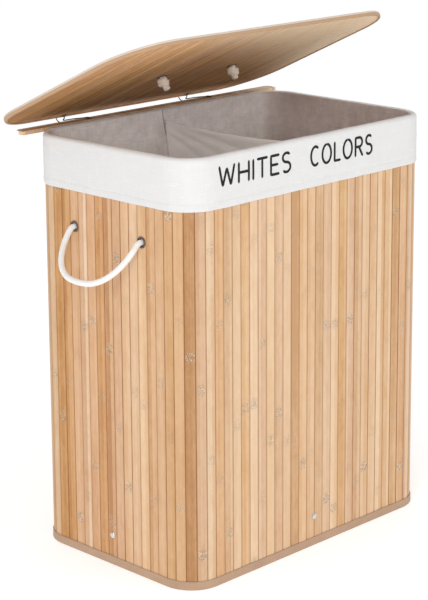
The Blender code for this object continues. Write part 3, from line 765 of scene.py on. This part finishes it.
def tie(side, hole_x):
    """Black cord through the rail's eyelet and round through the lid's; its ends meet in a knot."""
    x, y = LID_AXIS.x, MID_Y + 0.1810  # the lid's shift, and the rail's holes
    low, high = RAIL_TOP - 0.0050, RAIL_TOP
    ay, az, reach = LID_AXIS.y, LID_AXIS.z, 0.0103
    points = [(0.0, y, low - 0.0035), (0.0, y, low + 0.0010), (0.0, y + 0.0003, high + 0.0012)]
    points += [(x * 0.28, y + 0.0030, high + 0.0013), (x * 0.66, y + 0.0085, high + 0.0011)]
    for degrees in (216, 196, 176, 154, 126, 98, 70, 42, 14, -14, -42, -70, -96):
        a = math.radians(degrees)
        points.append((x, ay + reach * math.cos(a), az + reach * math.sin(a)))
    points += [(x * 0.82, y + 0.0165, low - 0.0022), (x * 0.5, y + 0.0080, low - 0.0045)]
    points.append((x * 0.17, y + 0.0015, low - 0.0052))
    points = [(hole_x + p[0], p[1], p[2]) for p in points]
    path, length = smooth_path(points, 0.0008)
    cord = add(side + "_tie_cord", tube(side + "_tie_cord", path, 0.0008, 12, 0.06, 4, 0.007),
               elastic_black)
    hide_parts(side + "_tie_loop")
    turns = [i * 0.5 for i in range(20)]
    bead, _ = smooth_path([(hole_x + 0.0016 * math.cos(t), y + 0.0016 * math.sin(t),
                            low - 0.0047 - 0.00035 * t) for t in turns], 0.0006)
    end = piece(side + "_tie_knot", tube(side + "_tie_knot", bead, 0.0011, 10, 0.05, 4, 0.007),
                elastic_black, "hamper")
    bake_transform(cord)


tie("left", -0.130)
tie("right", 0.130)

# ---- slats and the other CAD pieces that keep their shape ------------------------------------

FLAT_X, FLAT_Y = HALF_X - CORNER, HALF_Y - CORNER  # half of each flat stretch
LONG_PITCH, END_PITCH = FLAT_X / 12, FLAT_Y / 6.5  # 24 and 13 slats across a flat stretch
CORNER_PITCH = CORNER * math.pi / 2 / 5
LID_PITCH = 2 * LID_HALF / 33


def across_long(look, x, y):
    return x + FLAT_X


def across_end(look, x, y):
    return y - (MID_Y - FLAT_Y)


def across_lid(look, x, y):
    return x + LID_HALF


# front and rear walls take PALE, a painted sheen of the light falling on them; the end walls take
# WARM
for panel, across, pitch, seed, tones in (
    ("front_slat_panel", across_long, LONG_PITCH, 11.0, PALE),
    ("rear_slat_panel", across_long, LONG_PITCH, 67.0, PALE),
    ("left_slat_panel", across_end, END_PITCH, 133.0, WARM),
    ("right_slat_panel", across_end, END_PITCH, 191.0, WARM),
):
    dress(panel, bamboo(panel + "_bamboo", across, 2, pitch, seed, tones), 20.0)

for panel, sx, sy, start, seed in (
    ("corner_slats_rear_right", 1, 1, 0.0, 233.0),
    ("corner_slats_rear_left", -1, 1, math.pi / 2, 257.0),
    ("corner_slats_front_left", -1, -1, math.pi, 283.0),
    ("corner_slats_front_right", 1, -1, 3 * math.pi / 2, 311.0),
):
    def across_corner(look, x, y, sx=sx, sy=sy, start=start):
        """Distance round the corner from its first joint."""
        dx, dy = x - sx * FLAT_X, y - (MID_Y + sy * FLAT_Y)
        c, s = math.cos(start + math.pi / 4), math.sin(start + math.pi / 4)
        angle = look.math("ARCTAN2", dy * c - dx * s, dx * c + dy * s)
        return (angle + math.pi / 4) * CORNER

    material = bamboo(panel + "_bamboo", across_corner, 2, CORNER_PITCH, seed, WARM, value=0.845)
    dress(panel, material, 20.0)

lid_wood = bamboo("lid_bamboo", across_lid, 1, LID_PITCH, 401.0, PALE, 0.5, turned=to_lid,
                  under=BROWN, fibre_depth=0.26, rough=0.58, specular=0.16, fine=430.0)
dress("lid_panel", lid_wood, 20.0)
dress("hinge_rail", bamboo("rail_bamboo", across_lid, 1, LID_PITCH, 467.0, WARM, 0.5, 0.86))

dark_steel = metal("dark_steel", (0.12, 0.096, 0.075), (0.27, 0.235, 0.195), 0.38)
bright_steel = metal("bright_steel", (0.56, 0.56, 0.56), (0.80, 0.80, 0.80), 0.26)
batten_tones = ((0.36, 0.23, 0.13), (0.52, 0.36, 0.22))
batten_x = board("batten_x", *batten_tones, (9.0, 260.0, 260.0))
batten_y = board("batten_y", *batten_tones, (260.0, 9.0, 260.0))
for name in nodes:
    if name.endswith("eyelet"):
        dress(name, dark_steel)
    elif "screw" in name:
        dress(name, bright_steel, 40.0)
    elif name.endswith("batten"):
        dress(name, batten_x if name.startswith(("front", "rear")) else batten_y)
dress("rim_hoop", board("hoop_wood", (0.16, 0.075, 0.035), (0.30, 0.16, 0.08),
                        (18.0, 18.0, 420.0)))
dress("base_board", board("board_brown", (0.16, 0.105, 0.065), (0.30, 0.21, 0.14),
                          (60.0, 60.0, 300.0)))
dress("canvas_backing", cloth("backing", (0.24, 0.21, 0.19), (0.36, 0.32, 0.29), 0.0009, 0.4,
                              plane=(0, 2)))

# ---- cuff ------------------------------------------------------------------------------------

linen = cloth("linen_white", (0.665, 0.665, 0.66), (0.82, 0.815, 0.81), 0.0010, 0.60, soil=0.10,
              depth=0.00018, patchy=0.20)
BODY_RING = stations(HALF_X, HALF_Y, CORNER, (0.0, MID_Y), 0.0035, 22)


def at_corner(nx, ny):
    """1 in the middle of a rounded corner, 0 on a flat side."""
    return min(1.0, 4.0 * (nx * ny) ** 2)


def cuff_swell(x, y, z, nx, ny):
    """How far the cuff's outer face stands off its nominal place."""
    soft = 0.00042 * wobble(x, y, z * 0.7, 17.0, 3.1) + 0.00022 * wobble(x, y, z, 55.0, 7.7)
    corner = at_corner(nx, ny)
    soft += corner * 0.00035 * wobble(x, y, z * 2.2, 60.0, 1.9)
    hem = 0.00045 * near(z, 0.5600, 0.0042)
    stitch = -0.00050 * near(z, 0.5660, 0.0007)
    pucker = 0.00022 * near(z, 0.5650, 0.0060) * math.sin(2 * math.pi * (x + y) / 0.0115)
    seam = -0.0006 * near(x, -0.0330, 0.0006) * (1.0 if ny < -0.5 else 0.0)
    return soft + hem + stitch + pucker + seam


def make_cuff():
    """White cloth up the outside, rolled over the rim and down its inside, and back again."""
    outer, inner = -CUFF_PROUD, -0.0003
    lip = (0.0074, 0.0089)
    bend = 0.6245
    centre = (inner + lip[0]) / 2
    big, small = lip[1] - centre, lip[0] - centre
    profile = [(inner, 0.5556), (inner - 0.0004, 0.5551), (outer + 0.0004, 0.5551),
               (outer, 0.5557)]
    rise = [0.5575, 0.5595, 0.5615, 0.5632, 0.5646, 0.5654, 0.5660, 0.5666, 0.5674, 0.5690]
    rise += [0.5715 + 0.0040 * i for i in range(14)]
    skirt = (len(profile), len(profile) + len(rise))
    profile += [(outer, z) for z in rise]
    for step in range(11):
        angle = math.pi * step / 10
        profile.append((centre - big * math.cos(angle), bend + big * math.sin(angle)))
    roll = (skirt[1], len(profile))
    profile += [(lip[1], 0.6228), (lip[1] - 0.0004, 0.6216), (lip[0] + 0.0003, 0.6216),
                (lip[0], 0.6222)]
    for step in range(7):
        angle = math.pi * step / 6
        profile.append((centre + small * math.cos(angle), bend + small * math.sin(angle)))
    profile += [(inner, z) for z in (0.612, 0.596, 0.580, 0.567)]

    def shape(x, y, nx, ny, s, d, z, k):
        if 2 <= k < skirt[1]:
            d -= cuff_swell(x, y, z, nx, ny)
            if k < skirt[0]:
                z += 0.0005 * wobble(x, y, 0, 30.0, 5.0)
        elif roll[0] <= k < roll[1]:
            share = (k - roll[0]) / (roll[1] - roll[0] - 1)
            d -= cuff_swell(x, y, z, nx, ny) * max(0.0, 1.0 - 2.5 * share)
            z += 0.00065 * wobble(x, y, 0, 21.0, 9.0) * math.sin(math.pi * share)
        return d, z

    mesh = swept("cuff_linen", BODY_RING, profile, shape)
    return piece("cuff_linen", mesh, linen, "hamper", "cuff")


cuff = make_cuff()

# ---- embroidered words -----------------------------------------------------------------------


def arc(cx, cz, rx, rz, start, end, count):
    return [(cx + rx * math.cos(math.radians(start + (end - start) * i / count)),
             cz + rz * math.sin(math.radians(start + (end - start) * i / count)))
            for i in range(count + 1)]


LETTERS = {  # strokes in a box one unit tall; the number is the letter's width
    "W": (0.95, [[(0.05, 1.0), (0.25, 0.02)], [(0.25, 0.02), (0.475, 0.86)],
                 [(0.475, 0.86), (0.70, 0.02)], [(0.70, 0.02), (0.90, 1.0)]]),
    "H": (0.66, [[(0.05, 0), (0.05, 1)], [(0.61, 0), (0.61, 1)], [(0.05, 0.5), (0.61, 0.5)]]),
    "I": (0.12, [[(0.06, 0), (0.06, 1)]]),
    "T": (0.62, [[(0.0, 0.95), (0.62, 0.95)], [(0.31, 0.93), (0.31, 0)]]),
    "E": (0.54, [[(0.05, 0), (0.05, 1)], [(0.05, 0.95), (0.54, 0.95)],
                 [(0.05, 0.51), (0.47, 0.51)], [(0.05, 0.05), (0.54, 0.05)]]),
    "S": (0.56, [arc(0.28, 0.74, 0.22, 0.22, 35, 270, 14)[:-1]
                 + arc(0.28, 0.27, 0.23, 0.24, 90, -145, 14)]),
    "C": (0.66, [arc(0.36, 0.5, 0.31, 0.46, 48, 312, 18)]),
    "O": (0.74, [arc(0.37, 0.5, 0.32, 0.46, 90, 450, 28)]),
    "L": (0.50, [[(0.05, 1), (0.05, 0)], [(0.05, 0.05), (0.50, 0.05)]]),
    "R": (0.62, [[(0.05, 0), (0.05, 1)],
                 [(0.05, 0.95), (0.32, 0.95)] + arc(0.34, 0.72, 0.21, 0.23, 90, -90, 10)
                 + [(0.05, 0.49)], [(0.30, 0.49), (0.60, 0.0)]]),
}


def stroke(verts, faces, uvs, line, half, height):
    """One raised satin-stitched stroke on the front of the cuff, with round ends."""
    flat = [Vector((x, z, 0.0)) for x, z in line]
    path, length = smooth_path(flat, 0.0011) if len(flat) > 2 else (
        [flat[0].lerp(flat[1], i / 12) for i in range(13)], (flat[1] - flat[0]).length)
    across, columns, rows = 8, 16, len(path)
    base = len(verts)
    run = 0.0
    for i, p in enumerate(path):
        a, b = path[max(i - 1, 0)], path[min(i + 1, len(path) - 1)]
        t = (b - a).normalized()
        side = Vector((-t.y, t.x, 0.0))
        if i:
            run += (p - path[i - 1]).length
        end = min(run, length - run)
        taper = math.sqrt(max(0.12, 1 - (1 - min(end / half, 1.0)) ** 2))
        for k in range(columns):
            share = -1 + 2 * min(k, columns - k) / across
            q = p + side * half * share * taper
            lift = height * math.sqrt(max(0.0, 1 - share * share)) * (0.5 + 0.5 * taper)
            face_y = FRONT - CUFF_PROUD - cuff_swell(q.x, FRONT, q.y, 0.0, -1.0)
            verts.append((q.x, face_y + (0.00012 - lift if k <= across else 0.00035), q.y))
    faces += grid_faces(rows, columns, False, True, base)
    step = length / (rows - 1)
    uvs += grid_runs([i * step for i in range(rows)], [k * half / 4 for k in range(columns + 1)])
    for row in (0, rows - 1):
        faces.append(tuple(base + row * columns + k for k in range(columns)))
        uvs.append(tuple((row * step, k * 0.0003) for k in range(columns)))


satin = thread("satin_black", (0.003, 0.003, 0.0035), (0.022, 0.021, 0.021))


def word(name, text, x0, x1, z0, z1):
    """Lays out block capitals to fill the span."""
    tall = z1 - z0
    wide = sum(LETTERS[c][0] for c in text)
    spare = (x1 - x0) / tall
    squeeze = min(1.3, (spare - 0.17 * (len(text) - 1)) / wide)
    space = (spare - wide * squeeze) / (len(text) - 1)
    verts, faces, uvs = [], [], []
    at = x0
    for c in text:
        width, lines = LETTERS[c]
        for line in lines:
            placed = [(at + u * squeeze * tall, z0 + v * tall) for u, v in line]
            stroke(verts, faces, uvs, placed, 0.00215, 0.00095)
        at += (width * squeeze + space) * tall
    piece(name, outward(mesh_of(name, verts, faces, uvs)), satin, "hamper")


word("left_compartment_word", "WHITES", -0.204, -0.055, 0.5855, 0.6155)
word("right_compartment_word", "COLORS", -0.014, 0.124, 0.5855, 0.6155)

# ---- liner -----------------------------------------------------------------------------------

liner_cloth = cloth("liner_linen", (0.52, 0.455, 0.43), (0.90, 0.83, 0.805), 0.0012, 0.5,
                    soil=0.40, depth=0.00022, lining=True, patchy=0.62)
divider_cloth = cloth("divider_linen", (0.76, 0.72, 0.68), (0.93, 0.89, 0.86), 0.0011, 0.4,
                      soil=0.16, depth=0.00016, patchy=0.22)


def knot_bulge(x, y, z):
    """Inward push of the liner over the rope knots inside the end walls."""
    if abs(x) < HALF_X - CORNER:
        return 0.0
    push = 0.0
    for knot_y in (MID_Y - GRIP_HALF, MID_Y + GRIP_HALF):
        reach = (abs(y - knot_y) ** 2.6 + abs((z - GRIP_Z) * 0.86) ** 2.6) ** (1 / 2.6)
        share = min(max((0.046 - reach) / 0.0300, 0.0), 1.0)
        push = max(push, 0.0160 * share * share * (3 - 2 * share))
    return push


def liner_fold(x, y, z, nx, ny):
    """Inward slack of the liner: long upright folds that die out at the rim and the floor."""
    run = x if abs(ny) > 0.7 else y
    hung = min(1.0, max(0.0, (LINER_TOP - 0.004 - z) / 0.05))
    hung *= min(1.0, max(0.0, (z - LINER_LOW) / 0.06)) * 0.75 + 0.25
    folds = 0.5 + 0.5 * noise_at(x * 13 + 5.2, y * 13, z * 1.9)
    fine = 0.5 + 0.5 * noise_at(x * 38 + 1.3, y * 38, z * 9.0 + 4.0)
    deep = 0.0030 * folds ** 2 + 0.0010 * fine
    if nx > 0.7:
        lean = y - MID_Y + 0.005 + 0.10 * (z - 0.60)
        deep += 0.0042 * near(lean, 0.0, 0.0075) * near(z, 0.585, 0.055)
        deep += 0.0022 * near(y - MID_Y, 0.070 + 0.05 * (z - 0.6), 0.012)
    if ny > 0.7:
        deep += 0.0016 * near(run, 0.12 + 0.1 * (0.6 - z), 0.02)
    if nx > 0.05 and ny > 0.05:
        deep += 0.0042 * near(math.atan2(ny, nx), 0.62, 0.10) + 0.0024 * near(
            math.atan2(ny, nx), 1.15, 0.12)
    corner = at_corner(nx, ny)
    deep += corner * 0.0012 * (0.5 + 0.5 * noise_at(x * 30, y * 30, z * 24.0))
    return deep * hung


def make_liner():
    """The bag, walls and floor, as an inner and an outer face joined at the rim."""
    found, total = stations(HALF_X, HALF_Y, CORNER, (0.0, MID_Y), 0.0045, 12)
    runs = [s for *_, s in found] + [total]
    count = len(found)
    floor = (0.22, 0.40, 0.58, 0.75, 0.90)  # loops in the floor, as shares of its size
    levels = [LINER_LOW + 0.0012, LINER_LOW + 0.010]
    step = 0.0095
    while levels[-1] + step < LINER_TOP - 0.004:
        levels.append(levels[-1] + step)
    levels += [LINER_TOP - 0.003, LINER_TOP]
    rows = len(floor) + len(levels)
    verts, faces, uvs = [], [], []

    def flat_run(face):
        return tuple(verts[v][:2] for v in face)

    for depth, sink in ((0.0105, 0.0), (0.0093, -0.0012)):
        base = len(verts)
        for share in floor:
            for x, y, nx, ny, _ in found:
                px, py = (x - nx * depth) * share, MID_Y + (y - ny * depth - MID_Y) * share
                puff = 0.0012 * (0.5 + 0.5 * wobble(px, py, 0.0, 14.0, 6.0))
                verts.append((px, py, LINER_LOW + 0.0012 + sink + puff))
        for z in levels:
            for x, y, nx, ny, _ in found:
                d = depth + liner_fold(x, y, z, nx, ny) + knot_bulge(x, y, z)
                level = z + (sink if z < LINER_LOW + 0.005 else 0.0)
                if z == LINER_TOP:
                    level += 0.0004 * wobble(x, y, 0.0, 40.0, 2.0)
                verts.append((x - nx * d, y - ny * d, level))
        for index, face in enumerate(grid_faces(rows, count, False, True, base)):
            row, k = divmod(index, count)
            heights = [verts[face[n]][2] for n in (0, 1, 1, 0)]
            wall_run = tuple(zip((runs[k], runs[k], runs[k + 1], runs[k + 1]), heights))
            faces.append(face)
            uvs.append(flat_run(face) if row < len(floor) else wall_run)
        faces.append(tuple(base + i for i in range(count)))
        uvs.append(flat_run(faces[-1]))
    top_in, top_out = (rows - 1) * count, (2 * rows - 1) * count
    for i in range(count):
        j = (i + 1) % count
        faces.append((top_in + i, top_in + j, top_out + j, top_out + i))
        uvs.append(((runs[i], 0.0), (runs[i + 1], 0.0), (runs[i + 1], 0.001), (runs[i], 0.001)))
    mesh = outward(mesh_of("liner_cloth", verts, faces, uvs))
    liner = piece("liner_cloth", mesh, liner_cloth, "hamper", "liner_bag")


make_liner()


def divider_x(y, z):
    """Sideways slack of the divider, sewn to the liner at the front and rear walls."""
    rear = (y - (MID_Y - DIVIDER_HALF)) / (2 * DIVIDER_HALF)
    bow = 0.0110 * near(z, 0.545, 0.055) * (0.45 + 0.55 * rear)
    lean = 0.0040 * near(z, 0.40, 0.12) * math.sin(math.pi * rear)
    sag = 0.0052 * math.sin(math.pi * rear) * near(z, 0.585, 0.05)
    crease = 0.0
    for slope, base, size in ((0.16, 0.610, 0.0020), (0.30, 0.604, 0.0017),
                              (0.48, 0.592, 0.0014), (-0.22, 0.575, 0.0010)):
        line = base - slope * (MID_Y + DIVIDER_HALF - y)
        crease += size * near(z, line, 0.0050) * min(1.0, max(0.0, 1.15 - 0.9 * (1 - rear)))
    ripple = 0.0016 * noise_at(y * 26, z * 12 + 3.0, 1.0) * near(z, 0.60, 0.10)
    return bow + lean + sag + crease + ripple


def divider_top(y):
    """Height of its top hem, which dips between the two walls."""
    rear = (y - (MID_Y - DIVIDER_HALF)) / (2 * DIVIDER_HALF)
    dip = 0.0085 * max(0.0, math.sin(math.pi * rear)) ** 0.8
    return 0.6185 - 0.0055 * rear - dip + 0.0012 * noise_at(y * 34, 2.0, 0.0)


def make_divider():
    """Two faces of one cloth with a doubled hem along its top, joined round the edge."""
    columns, rows = 92, 104
    near_end, far_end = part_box("divider")
    low = near_end.z + 0.0006
    verts, faces, sheets = [], [], []
    for side in (-1, 1):
        sheets.append(len(verts))
        for i in range(rows + 1):
            for k in range(columns + 1):
                y = near_end.y + (far_end.y - near_end.y) * k / columns
                top = divider_top(y)
                z = low + (top - low) * (i / rows) ** 0.72
                hem = 0.00062 if top - z < 0.0115 else 0.0
                hem -= 0.0003 * near(top - z, 0.0115, 0.0011)
                x = divider_x(y, z) + side * (0.00065 + hem)
                if i == rows:
                    x = divider_x(y, z) + side * 0.00035
                verts.append((x, y, z))
        faces += grid_faces(rows + 1, columns + 1, False, False, sheets[-1])
    one, two = sheets
    wide = columns + 1
    edges = [(i * wide, (i + 1) * wide) for i in range(rows)]
    edges += [(rows * wide + k, rows * wide + k + 1) for k in range(columns)]
    edges += [((i + 1) * wide + columns, i * wide + columns) for i in range(rows)]
    edges += [(k + 1, k) for k in range(columns)]
    faces += [(one + a, one + b, two + b, two + a) for a, b in edges]
    uvs = [tuple(verts[v][1:] for v in face) for face in faces]
    mesh = outward(mesh_of("divider_cloth", verts, faces, uvs))
    wall = piece("divider_cloth", mesh, divider_cloth, "hamper", "divider")


make_divider()

# ---- tapes -----------------------------------------------------------------------------------

tan_tape = twill("tan_tape", (0.385, 0.245, 0.160), (0.575, 0.390, 0.265))
# the lid's tape: its hinge tones and its brown lower side are painted shade
cream_tape = twill("cream_tape", (0.64, 0.52, 0.42), (0.85, 0.74, 0.64),
                   hinge=((0.44, 0.32, 0.225), (0.64, 0.50, 0.38)))
rail_tape = twill("rail_tape", (0.50, 0.39, 0.29), (0.72, 0.60, 0.49))


def make_bottom_tape():
    """Tape folded round the bottom edge: an outer leg, a thin base and an inner leg."""
    outer, inner, back, top, thick = -0.0013, 0.0057, 0.0049, 0.0130, 0.0010
    profile = [
        (outer, 0.0008), (outer, 0.0030), (outer, 0.0060), (outer, top - 0.0034),
        (outer, top - 0.0022), (outer, top - 0.0012), (outer + 0.0004, top), (-0.0004, top),
        (-0.0003, top - 0.0010), (-0.0003, thick), (back, thick), (back, top - 0.0010),
        (back + 0.0002, top), (inner - 0.0003, top), (inner, top - 0.0010), (inner, 0.0010),
        (inner - 0.0007, 0.0), (outer + 0.0008, 0.0),
    ]

    def shape(x, y, nx, ny, s, d, z, k):
        if k <= 5:
            d -= 0.00025 * wobble(x, y, z, 60.0, 4.0)
            if 3 <= k <= 4:
                d += 0.00022 + 0.00012 * math.sin(2 * math.pi * s / 0.0042)
            d -= at_corner(nx, ny) * 0.0003 * (0.5 + 0.5 * math.sin(2 * math.pi * s / 0.0063))
        if k in (5, 6, 7):
            z += 0.0004 * wobble(x, y, 0.0, 35.0, 8.0)
        return d, z

    ring = stations(HALF_X, HALF_Y, CORNER, (0.0, MID_Y), 0.0021, 36)
    tape = piece("bottom_tape", swept("bottom_tape", ring, profile, shape), tan_tape,
                 "hamper", "bottom_binding")


make_bottom_tape()


def make_lid_tape():
    half_y = (LID_FAR - LID_NEAR) / 2
    ring = stations(LID_HALF, half_y, 0.085, (0.0, -(LID_NEAR + LID_FAR) / 2), 0.0030, 40)
    z0, z1, t, wide, under = -LID_Z, LID_Z, 0.0008, 0.0085, 0.0046
    profile = [
        (0.0004, z1 - 0.0009), (0.0012, z1), (0.0026, z1 + 0.0001), (wide - 0.0022, z1),
        (wide - 0.0012, z1 - 0.0001), (wide, z1 - 0.0003), (wide, z1 - t), (t, z1 - t),
        (t, z0 + t), (under, z0 + t), (under, z0 + 0.0003), (under - 0.0008, z0 + 0.0001),
        (under - 0.0016, z0), (0.0022, z0 - 0.0001), (0.0012, z0), (0.0004, z0 + 0.0009),
        (0.0, 0.0),
    ]

    def shape(x, y, nx, ny, s, d, z, k):
        if k in (3, 12):
            z += -math.copysign(0.00018, z) * (1 + 0.5 * math.sin(2 * math.pi * s / 0.0042))
        if k in (5, 6, 9, 10):
            d += 0.00035 * wobble(x, y, z, 45.0, 2.0)
        if k in (1, 2, 13, 14):
            z += math.copysign(0.00012, z) * (1 + wobble(x, y, z, 70.0, 5.0))
        return d, z

    mesh = swept("lid_tape", ring, profile, shape)
    mesh.transform(LID_FRAME)
    tape = piece("lid_tape", mesh, cream_tape, "lid", "lid_binding")


make_lid_tape()


def make_rail_tape():
    low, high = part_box("hinge_rail")
    y0, y1, top = low.y, high.y, high.z
    half_y = (y1 - y0) / 2
    ring = stations(high.x, half_y, 0.0085, (0.0, (y0 + y1) / 2), 0.0030, 8)
    profile = [(0.0002, top), (0.0001, top + 0.0004), (0.0008, top + 0.0007),
               (0.0034, top + 0.00065), (0.0042, top + 0.0004), (0.0042, top)]

    def shape(x, y, nx, ny, s, d, z, k):
        if k in (4, 5):
            d += 0.0003 * wobble(x, y, 0.0, 60.0, 3.0)
        return d, z

    mesh = swept("rail_edge_tape", ring, profile, shape)
    tape = piece("rail_edge_tape", mesh, rail_tape, "hamper")


make_rail_tape()

# ---- stage and light -------------------------------------------------------------------------


def make_stage():
    mesh = bpy.data.meshes.new("floor")
    bm = bmesh.new()
    bmesh.ops.create_grid(bm, x_segments=2, y_segments=2, size=9.0)
    bmesh.ops.translate(bm, verts=bm.verts, vec=(0, 0, -0.0002))
    bm.to_mesh(mesh)
    bm.free()
    floor = in_scene("floor", mesh)
    look = Look("floor", rough=0.9, specular=0.1)
    for socket, value in (("Base Color", (0.96, 0.96, 0.96)), ("Emission Color", (1.0, 1.0, 1.0)),
                          ("Emission Strength", 0.33)):
        look.put(look.shader.inputs[socket], value)
    mesh.materials.append(look.material)


def area_light(name, where, target, size, energy):
    data = bpy.data.lights.new(name, "AREA")
    data.shape = "SQUARE"
    data.size = size
    data.energy = energy
    obj = in_scene(name, data)
    obj.location = where
    obj.rotation_mode = "QUATERNION"
    obj.rotation_quaternion = (Vector(target) - Vector(where)).to_track_quat("-Z", "Y")


def make_light():
    world = bpy.data.worlds.new("studio")
    bpy.context.scene.world = world
    world.use_nodes = True
    tree = world.node_tree
    ground = tree.nodes["Background"]
    ground.inputs["Color"].default_value = (1.0, 1.0, 1.0, 1.0)
    seen = tree.nodes.new("ShaderNodeLightPath").outputs["Is Camera Ray"]
    level = tree.nodes.new("ShaderNodeMapRange")
    level.inputs[3].default_value = 0.70
    level.inputs[4].default_value = 1.0
    tree.links.new(seen, level.inputs[0])
    tree.links.new(level.outputs[0], ground.inputs["Strength"])
    area_light("key", (-2.6, -1.75, 1.62), (0, 0.0, 0.6), 1.0, 30.0)
    area_light("fill", (0.9, -3.1, 1.65), (0, 0, 0.6), 1.2, 10.0)
    bpy.context.scene.view_settings.view_transform = "Standard"


make_stage()
make_light()
